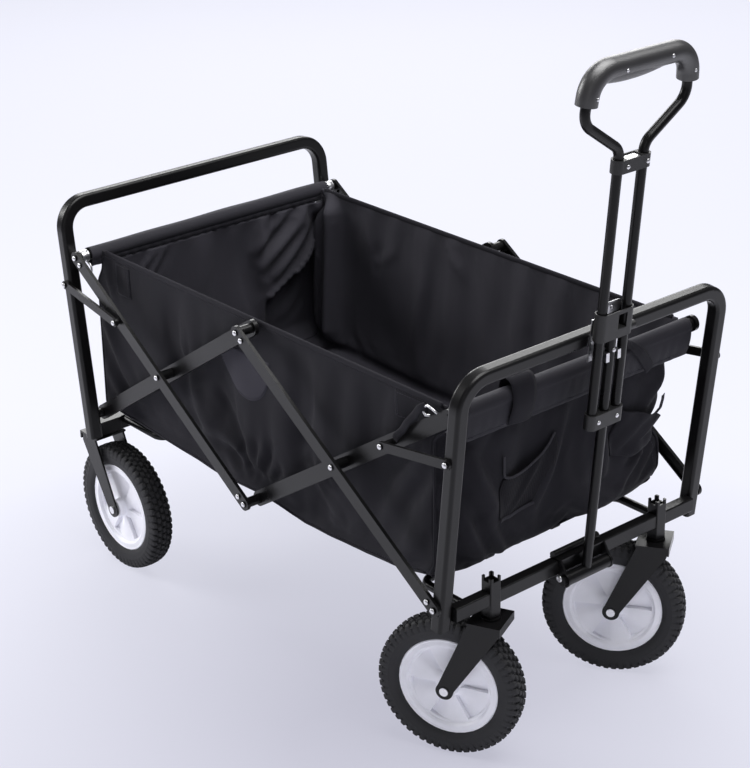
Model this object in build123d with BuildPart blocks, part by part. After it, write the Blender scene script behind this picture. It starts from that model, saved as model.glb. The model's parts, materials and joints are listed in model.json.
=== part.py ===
from build123d import *
from math import atan2, cos, degrees, hypot, radians, sin, tan
import os

os.makedirs("parts", exist_ok=True)

# A folding utility wagon. +X points forward to the handle, +Z up, floor at Z = 0.
# Left is +Y and right is -Y. All sizes in millimetres. The pieces are laid out about the
# middle of the scissor sides and moved, as they are saved, so that the origin is on the
# floor under the middle of the overall length.

# Scissor sides, seen from the side
half_span = 387.0
pivot_low = 251.0
pivot_high = 506.0
rise = pivot_high - pivot_low
bar_width = 19.0
inner_bar_width = 22.0
bar_thick = 5.0
inner_thick = 6.0
channel_wall = 2.0
channel_lip = 0.5
pin_r = 4.0
pin_gap = 0.05
hole_r = pin_r + pin_gap
head_r = 4.5
head_t = 1.5
boss_r = 7.0
seat_gap = 0.3

# End frames
lean = 6.15
tube = 20.0
tube_corner = 5.0
frame_bend = 38.0
front_half = 231.0
rear_step = 9.0
rear_half = front_half + rear_step
front_top = 565.0
rear_top = 577.0
post_foot = 217.0

# Layers across the width, measured from the middle
post_in = front_half - tube / 2
post_out = front_half + tube / 2
outer_in = post_out + seat_gap
outer_out = outer_in + bar_thick
inner_out = post_in - seat_gap
inner_in = inner_out - inner_thick
rear_in = rear_half - tube / 2
rear_out = rear_half + tube / 2

# Crossbars, caster posts and floor rails
cross_x = half_span + 8.0
cross_z = 240.0
cross_deep = 16.0
cross_tall = 20.0
cross_corner = 2.0
rear_cross_tall = 22.0
caster_x = cross_x + 0.5
caster_y = 155.0
caster_post = 18.0
post_corner = 1.5
post_low = 212.0
post_high = 270.0
post_wall = 2.5
post_open = 6.0
foot_long = 34.0
foot_wide = 40.0
rail_r = 6.0
rail_half = 180.0
rail_end_x = half_span - 96.0
rail_z = 227.0
rail_bend = 18.0
arm_y = 62.0
arm_wide = 12.0
arm_tall = 8.0
arm_eye = 3.0
arm_end = 2.0
arm_step = arm_wide + 6.0

# Wheels and forks
wheel_r = 100.0
tyre_half = 18.0
shoulder = 6.0
sidewall = 18.0
flank = 1.0
bead_half = 13.0
bead_gap = 0.2
rim_r = 69.5
rim_half = 14.0
band_t = 9.5
band_taper = 2.0
web_half = 7.0
hub_r = 13.0
hub_half = 21.0
hub_edge = 3.0
rib_count = 10
rib_half = 9.5
rib_t = 2.5
axle_r = 5.0
bolt_head_r = 6.0
bolt_head_t = 2.0
nut_r = 7.5
nut_t = 4.0
trail = 54.0
plate_t = 3.0
plate_long = 46.0
arm_top = 40.0
rear_arm_top = 32.0
plate_low = post_low - 6.0
fork_in = tyre_half + 5.5
fork_t = 3.0
fork_out = fork_in + fork_t
fork_tip_r = 12.0
fork_heel_angle = 6.15
fork_skirt = 14.0
fork_lip = 9.0
race_r = 13.0
stem_r = 6.0
stem_long = 45.0
stem_play = 2.0
turn_right = 25.1
turn_left = 34.2
rear_wheel_x = 29.0 - half_span
rear_wheel_y = rear_half - 32.0

# Pull handle
hub_x = cross_x + 18.0
hub_z = cross_z - 14.0
handle_lean = 5.15
sleeve_r = 9.0
sleeve_half = 38.0
ear_t = 3.0
ear_gap = 0.5
ear_rim = 1.0
ear_shelf = 3.0
saddle_t = 2.0
roll_r = 5.0
hinge_nut_r = 7.5
hinge_nut_t = 4.0
pole_r = 6.5
tube_r = 6.35
tube_y = 21.5
clamp_deep = 18.0
clamp_wall = 1.6
slider_tall = 21.0
guide_tall = 37.0
guide_floor = 12.0
window_wide = 15.0
window_cut = 5.0
guide_rim = 5.0
yoke_tall = 17.0
yoke_dish = 3.0
knob_r = 5.5
knob_long = 8.0
knob_sink = 2.1
slide_gap = 0.3
hold_gap = 0.02
low_clamp = 230.0
high_clamp = 361.0
grip_h = 696.0
grip_half = 82.0
grip_r = 13.5
grip_leg = 38.0
loop_half = 88.0
loop_h = grip_h - 60.0
flare_h = loop_h - 45.0
top_clamp = flare_h - 20.0
corner_bend = 32.0
shoulder_bend = 26.0
neck_bend = 20.0
clip_z = 542.0
clip_tall = 12.0
clip_half = 13.0
clip_plate_half = 26.0
clip_plate_tall = 58.0
clip_plate_t = 1.5
clip_play = 0.8
clip_root = 2.5
clip_lip = 0.5

# Bag
bag_half = 207.0
cloth = 3.0
bag_top = 512.0
bag_floor = 250.0
bag_front_low = half_span - 50.0
bag_rear_low = -half_span - 5.0
rear_sleeve_half = bag_half + 17.0
hem_r = 8.0
sleeve_cloth = 3.0

# Middle of the overall length, from the rear tyres to the front of the grip
overall_front = hub_x + grip_h * sin(radians(handle_lean)) + grip_r
overall_back = rear_wheel_x - wheel_r
origin_x = (overall_front + overall_back) / 2


def save(part, name):
    """Move a finished piece to the origin under the middle, label it and write it out."""
    finished = part.part.moved(Location((-origin_x, 0, 0)))
    finished.label = name
    export_step(finished, "parts/" + name + ".step")


def along(start, end, distance):
    """Point at a distance from start on the line to end."""
    length = hypot(end[0] - start[0], end[1] - start[1])
    share = distance / length
    return (start[0] + (end[0] - start[0]) * share, start[1] + (end[1] - start[1]) * share)


def bar(start, end, width, near, far):
    """Flat bar with round ends, near to far from the middle on the right."""
    middle = ((start[0] + end[0]) / 2, (start[1] + end[1]) / 2)
    length = hypot(end[0] - start[0], end[1] - start[1])
    angle = degrees(atan2(end[1] - start[1], end[0] - start[0]))
    with BuildSketch(Plane.XZ.offset(near)) as outline:
        with Locations(middle):
            SlotCenterToCenter(length, width, rotation=angle)
    extrude(outline.sketch, amount=far - near)


def bar_slot(start, end, width, near, far):
    """Cut a round-ended slot, near to far from the middle on the right."""
    middle = ((start[0] + end[0]) / 2, (start[1] + end[1]) / 2)
    length = hypot(end[0] - start[0], end[1] - start[1])
    angle = degrees(atan2(end[1] - start[1], end[0] - start[0]))
    with BuildSketch(Plane.XZ.offset(near)) as outline:
        with Locations(middle):
            SlotCenterToCenter(length, width, rotation=angle)
    extrude(outline.sketch, amount=far - near, mode=Mode.SUBTRACT)


def stud(point, radius, near, far, mode=Mode.ADD):
    """Round pin across the width at a side-view point, on the right."""
    with BuildSketch(Plane.XZ.offset(near)) as outline:
        with Locations(point):
            Circle(radius)
    extrude(outline.sketch, amount=far - near, mode=mode)


front_low = (half_span, pivot_low)
front_high = (half_span, pivot_high)
rear_low = (-half_span, pivot_low)
rear_high = (-half_span, pivot_high)
mid_low = (0.0, pivot_low)
mid_high = (0.0, pivot_high)
front_cross = (half_span / 2, (pivot_low + pivot_high) / 2)
rear_cross = (-half_span / 2, (pivot_low + pivot_high) / 2)

# Planes in which the two end frames lie
lean_x = sin(radians(lean))
lean_z = cos(radians(lean))
front_plane = Plane(origin=(half_span, 0, pivot_low), x_dir=(0, 1, 0), z_dir=(lean_z, 0, -lean_x))
rear_plane = Plane(origin=(-half_span, 0, pivot_low), x_dir=(0, 1, 0), z_dir=(lean_z, 0, lean_x))

# Links between the posts and the bars
link_width = 12.5
link_thick = 4.0
link_rise = 209.0
link_post = link_rise / lean_z
link_front_reach = 116.0
link_rear_reach = 124.0
rivet_r = 4.5
rivet_t = 1.2
second_rivet_r = 4.0
second_rivet_step = 14.0
front_link_post = (half_span + link_post * lean_x, pivot_low + link_post * lean_z)
rear_link_post = (-half_span - link_post * lean_x, pivot_low + link_post * lean_z)
front_link_bar = along(front_high, mid_low, link_front_reach)
rear_link_bar = along(rear_high, mid_low, link_rear_reach)

# --- front frame -------------------------------------------------------

with BuildPart() as front_frame_tube:
    with BuildLine(front_plane) as front_path:
        FilletPolyline(
            (-front_half, (post_foot - pivot_low) / lean_z),
            (-front_half, (front_top - pivot_low) / lean_z),
            (front_half, (front_top - pivot_low) / lean_z),
            (front_half, (post_foot - pivot_low) / lean_z),
            radius=frame_bend,
        )
    with BuildSketch(Plane(origin=front_path.line @ 0, x_dir=(0, 1, 0), z_dir=front_path.line % 0)):
        RectangleRounded(tube, tube, tube_corner)
    sweep()
    stud(front_low, pin_r, front_half, outer_out + seat_gap + head_t)
    stud(front_low, head_r, outer_out + seat_gap, outer_out + seat_gap + head_t)
    link_out = outer_in + link_thick + seat_gap
    stud(front_link_post, pin_r, front_half, link_out + head_t)
    stud(front_link_post, head_r, link_out, link_out + head_t)
    mirror(about=Plane.XZ)
save(front_frame_tube, "front_frame_tube")

with BuildPart() as front_crossbar:
    with BuildSketch(Plane.XZ.offset(-post_in)):
        with Locations((cross_x, cross_z)):
            RectangleRounded(cross_deep, cross_tall, cross_corner)
    extrude(amount=2 * post_in)
    for side in (-1, 1):
        with BuildSketch(Plane.XY.offset(post_low)):
            with Locations((caster_x, side * caster_y)):
                RectangleRounded(caster_post, caster_post, post_corner)
        extrude(amount=post_high - post_low)
        with BuildSketch(Plane.XY.offset(post_low)):
            with Locations((caster_x, side * caster_y)):
                Circle(stem_r + pin_gap)
        extrude(amount=stem_long, mode=Mode.SUBTRACT)
        with BuildSketch(Plane.XY.offset(post_high - 2 * post_open)):
            with Locations((caster_x, side * caster_y)):
                Rectangle(caster_post - 2 * post_wall, caster_post - 2 * post_wall)
        extrude(amount=2 * post_open, mode=Mode.SUBTRACT)
        with BuildSketch(Plane.XY.offset(post_high - post_open)):
            with Locations((caster_x, side * caster_y)):
                Rectangle(caster_post / 2, caster_post)
                Rectangle(caster_post, caster_post / 2)
        extrude(amount=post_open, mode=Mode.SUBTRACT)
save(front_crossbar, "front_crossbar")


def floor_rail(side):
    """Bent floor rail: two legs from the crossbar's inner face, and straight across."""
    start_x = side * (cross_x - cross_deep / 2)
    end_x = side * rail_end_x
    with BuildLine(Plane.XY.offset(rail_z)) as path:
        FilletPolyline(
            (start_x, -rail_half),
            (end_x, -rail_half),
            (end_x, rail_half),
            (start_x, rail_half),
            radius=rail_bend,
        )
    with BuildSketch(Plane(origin=path.line @ 0, z_dir=path.line % 0)) as ring:
        Circle(rail_r)
    sweep(ring.sketch, path=path.line)


with BuildPart() as front_floor_rail:
    floor_rail(1)
save(front_floor_rail, "front_floor_rail")

# Handle hinge: two ears on the crossbar and the bolt between them
ear_in = sleeve_half + ear_gap
ear_out = ear_in + ear_t
front_face = cross_x + cross_deep / 2
cross_top = cross_z + cross_tall / 2
ear_r = sleeve_r + ear_rim
with BuildPart() as handle_hinge:
    for side in (-1, 1):
        with BuildSketch(Plane.XZ.offset(ear_in if side < 0 else -ear_out)):
            with BuildLine():
                Polyline(
                    (front_face, cross_top + saddle_t),
                    (front_face + ear_shelf, cross_top + saddle_t),
                    (hub_x + ear_r, hub_z),
                    (hub_x, hub_z - ear_r),
                    (front_face, hub_z),
                    close=True,
                )
            make_face()
            with Locations((hub_x, hub_z)):
                Circle(ear_r)
        extrude(amount=ear_t)
    with BuildSketch(Plane.XZ.offset(-ear_out)):
        with Locations((cross_x + ear_shelf / 2, cross_top + saddle_t / 2)):
            Rectangle(cross_deep + ear_shelf, saddle_t)
        with Locations((cross_x - cross_deep / 2 + roll_r, cross_top + roll_r)):
            Circle(roll_r)
    extrude(amount=2 * ear_out)
    with BuildSketch(Plane.XZ.offset(-ear_out)):
        with Locations((hub_x, hub_z)):
            Circle(pin_r)
    extrude(amount=2 * ear_out)
    with BuildSketch(Plane.XZ.offset(ear_out)):
        with Locations((hub_x, hub_z)):
            RegularPolygon(hinge_nut_r, 6)
    extrude(amount=hinge_nut_t)
save(handle_hinge, "handle_hinge")

# Clip on the top bar that holds the upright pole
pole_dx = tan(radians(handle_lean))
bar_front = half_span + (front_top - pivot_low) * tan(radians(lean)) + tube / 2 / lean_z
pole_at_clip = hub_x + (clip_z - hub_z) * pole_dx
clip_nose = pole_at_clip + pole_r + clip_lip
clip_mouth = 2 * (pole_r + clip_play)
with BuildPart() as handle_clip:
    with BuildSketch(Plane.XY.offset(clip_z - clip_tall / 2)):
        with Locations(((bar_front - clip_root + clip_nose) / 2, 0)):
            Rectangle(clip_nose - bar_front + clip_root, 2 * clip_half)
        with Locations((pole_at_clip + clip_mouth / 2, 0)):
            SlotCenterToCenter(clip_mouth, clip_mouth, mode=Mode.SUBTRACT)
    extrude(amount=clip_tall)
    with BuildSketch(front_plane.offset(tube / 2 + seat_gap)):
        with Locations((0, (clip_z - clip_tall / 2 + clip_plate_tall / 2 - pivot_low) / lean_z)):
            Rectangle(2 * clip_plate_half, clip_plate_tall)
    extrude(amount=clip_plate_t)
save(handle_clip, "handle_clip")

# --- wheels and forks --------------------------------------------------


def wheel_plane(x, y, turn, offset):
    """Plane of a wheel through its centre, moved along the axle."""
    ahead = (cos(radians(turn)), sin(radians(turn)), 0)
    outward = (ahead[1], -ahead[0], 0)
    return Plane(origin=(x, y, wheel_r), x_dir=ahead, z_dir=outward).offset(offset)


def add_tyre(x, y, turn):
    """Tyre as one ring about the wheel's axle."""
    plane = wheel_plane(x, y, turn, 0)
    section = Plane(origin=plane.origin, x_dir=plane.x_dir, z_dir=(0, 0, 1))
    with BuildSketch(section) as profile:
        with BuildLine():
            outer = [
                (rim_r + bead_gap, bead_half),
                (rim_r + sidewall / 2, tyre_half - flank),
                (rim_r + sidewall, tyre_half),
                (wheel_r - shoulder, tyre_half - 2 * flank),
                (wheel_r - shoulder / 4, tyre_half / 2),
            ]
            inner = [(radius, -offset) for radius, offset in reversed(outer)]
            Polyline(*outer, (wheel_r, 0), *inner, close=True)
        make_face()
    revolve(profile.sketch, axis=Axis(plane.origin, plane.z_dir))


band_in = rim_r - band_t


def add_rim(x, y, turn):
    """Plastic rim: hub, dished web, outer band and radial ribs."""
    plane = wheel_plane(x, y, turn, 0)
    section = Plane(origin=plane.origin, x_dir=plane.x_dir, z_dir=(0, 0, 1))
    with BuildSketch(section) as profile:
        with BuildLine():
            outer = [
                (axle_r + pin_gap, hub_half),
                (hub_r - hub_edge, hub_half),
                (hub_r, hub_half - hub_edge),
                (hub_r + band_taper, web_half),
                (band_in - band_taper, web_half),
                (band_in, rim_half),
                (rim_r, rim_half),
            ]
            inner = [(radius, -offset) for radius, offset in reversed(outer)]
            Polyline(*outer, *inner, close=True)
        make_face()
    revolve(profile.sketch, axis=Axis(plane.origin, plane.z_dir))
    for low in (-rib_half, web_half):
        with BuildSketch(wheel_plane(x, y, turn, low)) as blades:
            with PolarLocations((hub_r + band_in) / 2, rib_count):
                Rectangle(band_in - hub_r, rib_t)
        extrude(blades.sketch, amount=rib_half - web_half)


def add_axle(x, y, turn):
    """Axle bolt with a round head outside each fork arm."""
    with BuildSketch(wheel_plane(x, y, turn, -fork_out)) as rod:
        Circle(axle_r)
    extrude(rod.sketch, amount=2 * fork_out)
    with BuildSketch(wheel_plane(x, y, turn, fork_out)) as head:
        Circle(bolt_head_r)
    extrude(head.sketch, amount=bolt_head_t)
    with BuildSketch(wheel_plane(x, y, turn, -fork_out - nut_t)) as nut:
        RegularPolygon(nut_r, 6)
    extrude(nut.sketch, amount=nut_t)


plate_mid = trail - 1.0


def add_fork(x, y, turn, way, top_width):
    """Fork: lipped top plate and two tapered arms; way is +1 with the plate ahead of the axle."""
    top = plate_low + plate_t - wheel_r
    heel = radians(fork_heel_angle)
    for low in (-fork_out, fork_in):
        with BuildSketch(wheel_plane(x, y, turn, low)) as arm:
            with BuildLine():
                Polyline(
                    (-way * fork_tip_r * cos(heel), fork_tip_r * sin(heel)),
                    (way * (plate_mid - top_width / 2), top),
                    (way * (plate_mid + top_width / 2), top),
                    (way * (plate_mid + top_width / 2), top - fork_skirt),
                    (way * fork_tip_r, 0),
                    close=True,
                )
            make_face()
            Circle(fork_tip_r)
            Circle(axle_r + hold_gap, mode=Mode.SUBTRACT)
        extrude(arm.sketch, amount=fork_t)
    ahead = (cos(radians(turn)), sin(radians(turn)))
    middle = (x + way * plate_mid * ahead[0], y + way * plate_mid * ahead[1], plate_low)
    with BuildSketch(Plane(origin=middle, x_dir=(ahead[0], ahead[1], 0))) as plate:
        Rectangle(plate_long, 2 * fork_out)
    extrude(plate.sketch, amount=plate_t)
    with BuildSketch(Plane(origin=middle, x_dir=(ahead[0], ahead[1], 0))) as lip:
        with Locations((way * (plate_long - plate_t) / 2, 0)):
            Rectangle(plate_t, 2 * fork_out)
    extrude(lip.sketch, amount=-fork_lip)
    axis = (x + way * trail * ahead[0], y + way * trail * ahead[1])
    with BuildSketch(Plane.XY.offset(plate_low + plate_t)) as ring:
        with Locations(axis):
            Circle(race_r)
    extrude(ring.sketch, amount=post_low - seat_gap - plate_low - plate_t)
    return axis


def front_wheel(side, turn):
    """Axle centre of a front wheel that trails its upright post."""
    turned = radians(turn)
    return (caster_x - trail * cos(turned), side * caster_y - trail * sin(turned))


spots = {
    "front_right": (front_wheel(-1, turn_right), turn_right),
    "front_left": (front_wheel(1, turn_left), turn_left),
    "rear_right": ((rear_wheel_x, -rear_wheel_y), 0.0),
    "rear_left": ((rear_wheel_x, rear_wheel_y), 0.0),
}
for place, (centre, turn) in spots.items():
    with BuildPart() as tyre:
        add_tyre(centre[0], centre[1], turn)
    save(tyre, "tyre_" + place)
    with BuildPart() as rim:
        add_rim(centre[0], centre[1], turn)
    save(rim, "rim_" + place)
    with BuildPart() as axle:
        add_axle(centre[0], centre[1], turn)
    save(axle, "axle_" + place)
    with BuildPart() as fork:
        if place.startswith("front"):
            axis = add_fork(centre[0], centre[1], turn, 1, arm_top)
            with BuildSketch(Plane.XY.offset(plate_low + plate_t)):
                with Locations(axis):
                    Circle(stem_r)
            extrude(amount=post_low + stem_long - stem_play - plate_low - plate_t)
        else:
            axis = add_fork(centre[0], centre[1], turn, -1, rear_arm_top)
    save(fork, "fork_" + place)

# --- rear frame --------------------------------------------------------

with BuildPart() as rear_frame_tube:
    with BuildLine(rear_plane) as rear_path:
        FilletPolyline(
            (-rear_half, (post_foot - pivot_low) / lean_z),
            (-rear_half, (rear_top - pivot_low) / lean_z),
            (rear_half, (rear_top - pivot_low) / lean_z),
            (rear_half, (post_foot - pivot_low) / lean_z),
            radius=frame_bend,
        )
    with BuildSketch(Plane(origin=rear_path.line @ 0, x_dir=(0, 1, 0), z_dir=rear_path.line % 0)):
        RectangleRounded(tube, tube, tube_corner)
    sweep()
    stud(rear_low, pin_r, inner_in - seat_gap - head_t, rear_half)
    stud(rear_low, head_r, inner_in - seat_gap - head_t, inner_in - seat_gap)
    stud(rear_low, boss_r, inner_out + seat_gap, rear_half)
    link_far = rear_out + seat_gap + link_thick + seat_gap
    stud(rear_link_post, pin_r, rear_half, link_far + head_t)
    stud(rear_link_post, head_r, link_far, link_far + head_t)
    mirror(about=Plane.XZ)
save(rear_frame_tube, "rear_frame_tube")

rear_post_x = rear_wheel_x - trail
with BuildPart() as rear_crossbar:
    with BuildSketch(Plane.XZ.offset(-rear_in)):
        with Locations((-cross_x, post_low + rear_cross_tall / 2)):
            RectangleRounded(cross_deep, rear_cross_tall, cross_corner)
    extrude(amount=2 * rear_in)
    for side in (-1, 1):
        with BuildSketch(Plane.XY.offset(post_low)):
            with Locations(((rear_post_x - cross_x) / 2, side * rear_wheel_y)):
                RectangleRounded(foot_long, foot_wide, cross_corner)
        extrude(amount=rear_cross_tall)
save(rear_crossbar, "rear_crossbar")

with BuildPart() as rear_floor_rail:
    floor_rail(-1)
save(rear_floor_rail, "rear_floor_rail")

# --- scissor bars ------------------------------------------------------

slot_end = 19.0


def channel(start, end):
    """Outer channel bar, open towards the bag."""
    bar(start, end, bar_width, outer_in, outer_out)
    slot_width = bar_width - 2 * (channel_wall + channel_lip)
    low_end = along(start, end, slot_end)
    high_end = along(end, start, slot_end)
    bar_slot(low_end, high_end, slot_width, outer_in, outer_out - channel_wall)


def rivet_pair(start, end):
    """Second rivet beside each end pivot of an outer bar."""
    for point in (along(start, end, second_rivet_step), along(end, start, second_rivet_step)):
        stud(point, second_rivet_r, outer_out, outer_out + rivet_t)


with BuildPart() as channel_front:
    channel(front_low, mid_high)
    rivet_pair(front_low, mid_high)
    stud(front_low, hole_r, outer_in - 1, outer_out + 1, mode=Mode.SUBTRACT)
    for point in (mid_high, front_cross):
        stud(point, boss_r, inner_out + seat_gap, outer_out)
        stud(point, pin_r, inner_in - seat_gap - head_t, outer_out + rivet_t)
        stud(point, head_r, inner_in - seat_gap - head_t, inner_in - seat_gap)
        stud(point, rivet_r, outer_out, outer_out + rivet_t)
    mirror(about=Plane.XZ)
save(channel_front, "channel_front")

with BuildPart() as channel_rear:
    channel(rear_high, mid_low)
    rivet_pair(rear_high, mid_low)
    stud(rear_high, hole_r, outer_in - 1, outer_out + 1, mode=Mode.SUBTRACT)
    stud(rear_cross, boss_r, inner_out + seat_gap, outer_out)
    stud(rear_cross, hole_r, inner_out, outer_out + 1, mode=Mode.SUBTRACT)
    stud(mid_low, boss_r, inner_out + seat_gap, outer_out)
    stud(mid_low, pin_r, inner_in - seat_gap - head_t, outer_out + rivet_t)
    stud(mid_low, head_r, inner_in - seat_gap - head_t, inner_in - seat_gap)
    stud(mid_low, rivet_r, outer_out, outer_out + rivet_t)
    mirror(about=Plane.XZ)
save(channel_rear, "channel_rear")

with BuildPart() as bar_rear:
    bar(rear_low, mid_high, inner_bar_width, inner_in, inner_out)
    stud(rear_low, hole_r, inner_in - 1, inner_out + 1, mode=Mode.SUBTRACT)
    stud(mid_high, hole_r, inner_in - 1, inner_out + 1, mode=Mode.SUBTRACT)
    stud(rear_cross, pin_r, inner_in, outer_out + seat_gap + head_t)
    stud(rear_cross, head_r, outer_out + seat_gap, outer_out + seat_gap + head_t)
    mirror(about=Plane.XZ)
save(bar_rear, "bar_rear")

with BuildPart() as bar_front:
    bar(mid_low, front_high, inner_bar_width, inner_in, inner_out)
    for point in (mid_low, front_cross, front_high):
        stud(point, hole_r, inner_in - 1, inner_out + 1, mode=Mode.SUBTRACT)
    mirror(about=Plane.XZ)
save(bar_front, "bar_front")

with BuildPart() as link_front:
    bar(front_link_post, front_link_bar, link_width, outer_in, outer_in + link_thick)
    stud(front_link_post, hole_r, outer_in - 1, outer_in + link_thick + 1, mode=Mode.SUBTRACT)
    stud(front_link_bar, rivet_r, inner_out + seat_gap, outer_in + link_thick + rivet_t)
    mirror(about=Plane.XZ)
save(link_front, "link_front")

with BuildPart() as link_rear:
    bar(rear_link_post, rear_link_bar, link_width, rear_out + seat_gap, rear_out + seat_gap + link_thick)
    stud(rear_link_post, hole_r, rear_out, rear_out + 2 * link_thick, mode=Mode.SUBTRACT)
    stud(rear_link_bar, rivet_r, outer_out + seat_gap, rear_out + seat_gap + link_thick + rivet_t)
    mirror(about=Plane.XZ)
save(link_rear, "link_rear")

# --- floor arms --------------------------------------------------------


def add_arm(side, y):
    """Floor arm from a rail to the middle of the wagon, with an eye on the rail."""
    with BuildSketch(Plane.XZ.offset(-y - arm_wide / 2)) as web:
        with Locations((side * rail_end_x / 2, rail_z)):
            Rectangle(rail_end_x, arm_tall)
        with Locations((side * rail_end_x, rail_z)):
            Circle(rail_r + arm_eye)
            Circle(rail_r + seat_gap, mode=Mode.SUBTRACT)
        with Locations((0, rail_z)):
            Circle(arm_tall / 2 + arm_end)
    extrude(web.sketch, amount=arm_wide)


with BuildPart() as floor_arm_front:
    for side in (-1, 1):
        add_arm(1, side * arm_y)
save(floor_arm_front, "floor_arm_front")

with BuildPart() as floor_arm_rear:
    for side in (-1, 1):
        add_arm(-1, side * (arm_y + arm_step))
save(floor_arm_rear, "floor_arm_rear")

# --- hem tubes and bag -------------------------------------------------

hem_end_front = inner_in - seat_gap
hem_end_rear = outer_in - seat_gap
with BuildPart() as hem_tube_front:
    with BuildSketch(Plane.XZ.offset(-hem_end_front)):
        with Locations(front_high):
            Circle(hem_r)
    extrude(amount=2 * hem_end_front)
    stud(front_high, pin_r, hem_end_front, inner_out + seat_gap + head_t)
    stud(front_high, head_r, inner_out + seat_gap, inner_out + seat_gap + head_t)
    stud(front_high, pin_r, -hem_end_front, -(inner_out + seat_gap + head_t))
    stud(front_high, head_r, -(inner_out + seat_gap), -(inner_out + seat_gap + head_t))
save(hem_tube_front, "hem_tube_front")

with BuildPart() as hem_tube_rear:
    with BuildSketch(Plane.XZ.offset(-hem_end_rear)):
        with Locations(rear_high):
            Circle(hem_r)
    extrude(amount=2 * hem_end_rear)
    stud(rear_high, pin_r, hem_end_rear, outer_out + seat_gap + head_t)
    stud(rear_high, head_r, outer_out + seat_gap, outer_out + seat_gap + head_t)
    stud(rear_high, pin_r, -hem_end_rear, -(outer_out + seat_gap + head_t))
    stud(rear_high, head_r, -(outer_out + seat_gap), -(outer_out + seat_gap + head_t))
save(hem_tube_rear, "hem_tube_rear")

sleeve_in = hem_r + seat_gap
sleeve_out = sleeve_in + sleeve_cloth


def end_panel(top, low_x, sleeve_half):
    """End panel of the bag: a sleeve round the hem tube and a wall down to the floor."""
    side = 1 if top[0] > 0 else -1
    with BuildSketch(Plane.XZ.offset(-(bag_half - cloth - seat_gap))) as profile:
        with BuildLine():
            Polyline(
                (top[0] + side * sleeve_out, top[1]),
                (top[0] + side * (sleeve_out - cloth), top[1]),
                (low_x - side * cloth, bag_floor),
                (low_x, bag_floor),
                close=True,
            )
        make_face()
    extrude(profile.sketch, amount=2 * (bag_half - cloth - seat_gap))
    with BuildSketch(Plane.XZ.offset(-sleeve_half)) as roll:
        with Locations(top):
            Circle(sleeve_out)
    extrude(roll.sketch, amount=2 * sleeve_half)
    with BuildSketch(Plane.XZ.offset(-sleeve_half)) as bore:
        with Locations(top):
            Circle(sleeve_in)
    extrude(bore.sketch, amount=2 * sleeve_half, mode=Mode.SUBTRACT)


with BuildPart() as bag_front:
    end_panel(front_high, bag_front_low, bag_half)
save(bag_front, "bag_front")

with BuildPart() as bag_rear:
    end_panel(rear_high, bag_rear_low, rear_sleeve_half)
save(bag_rear, "bag_rear")

with BuildPart() as bag_sides:
    for near in (bag_half - cloth, -bag_half):
        with BuildSketch(Plane.XZ.offset(near)):
            with BuildLine():
                Polyline(
                    (half_span - sleeve_out - cloth, bag_top),
                    (bag_front_low, bag_floor),
                    (bag_rear_low, bag_floor),
                    (-half_span + sleeve_out + cloth, bag_top),
                    close=True,
                )
            make_face()
        extrude(amount=cloth)
    with BuildSketch(Plane.XY.offset(bag_floor)):
        with Locations(((bag_front_low + bag_rear_low) / 2, 0)):
            Rectangle(bag_front_low - bag_rear_low - 2 * (cloth + seat_gap), 2 * bag_half)
    extrude(amount=cloth)
save(bag_sides, "bag_sides")

# --- pull handle -------------------------------------------------------

handle_x = sin(radians(handle_lean))
handle_z = cos(radians(handle_lean))
handle_plane = Plane(origin=(hub_x, 0, hub_z), x_dir=(0, 1, 0), z_dir=(handle_z, 0, -handle_x))


def across(height):
    """Plane square to the handle at a height above its hinge."""
    return Plane(
        origin=(hub_x + height * handle_x, 0, hub_z + height * handle_z),
        x_dir=(0, 1, 0),
        z_dir=(handle_x, 0, handle_z),
    )


clamp_end = tube_y + clamp_deep / 2
guide_low = high_clamp - guide_tall / 2
knob_spot = across(guide_low + guide_floor / 2).origin

with BuildPart() as handle_pole:
    with BuildSketch(Plane.XZ.offset(-sleeve_half)):
        with Locations((hub_x, hub_z)):
            Circle(sleeve_r)
    extrude(amount=2 * sleeve_half)
    with BuildSketch(across(0)):
        Circle(pole_r)
    extrude(amount=high_clamp)
    with BuildSketch(Plane.XZ.offset(-sleeve_half)):
        with Locations((hub_x, hub_z)):
            Circle(hole_r)
    extrude(amount=2 * sleeve_half, mode=Mode.SUBTRACT)
save(handle_pole, "handle_pole")

with BuildPart() as handle_guide:
    with BuildSketch(across(guide_low)):
        SlotCenterToCenter(2 * tube_y, clamp_deep)
    extrude(amount=guide_tall)
    with BuildSketch(across(guide_low + guide_floor)):
        SlotCenterToCenter(2 * tube_y, clamp_deep - 2 * clamp_wall)
    extrude(amount=guide_tall, mode=Mode.SUBTRACT)
    with BuildSketch(across(guide_low)):
        Circle(pole_r + hold_gap)
        with Locations((tube_y, 0), (-tube_y, 0)):
            Circle(tube_r + slide_gap)
    extrude(amount=guide_tall, mode=Mode.SUBTRACT)
    with BuildSketch(across(guide_low + guide_floor)):
        with Locations((window_wide / 2, -clamp_deep / 2)):
            Rectangle(window_wide, window_cut)
    extrude(amount=guide_tall - guide_floor - guide_rim, mode=Mode.SUBTRACT)
    with BuildSketch(Plane.XZ.offset(-clamp_end - knob_long)):
        with Locations((knob_spot.X, knob_spot.Z)):
            Circle(knob_r)
    extrude(amount=knob_long + knob_sink)
save(handle_guide, "handle_guide")

with BuildPart() as handle_slider:
    with BuildSketch(across(low_clamp - slider_tall / 2)):
        SlotCenterToCenter(2 * tube_y, clamp_deep)
        Circle(pole_r + slide_gap, mode=Mode.SUBTRACT)
        with Locations((tube_y, 0), (-tube_y, 0)):
            Circle(tube_r + hold_gap, mode=Mode.SUBTRACT)
    extrude(amount=slider_tall)
save(handle_slider, "handle_slider")

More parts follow.
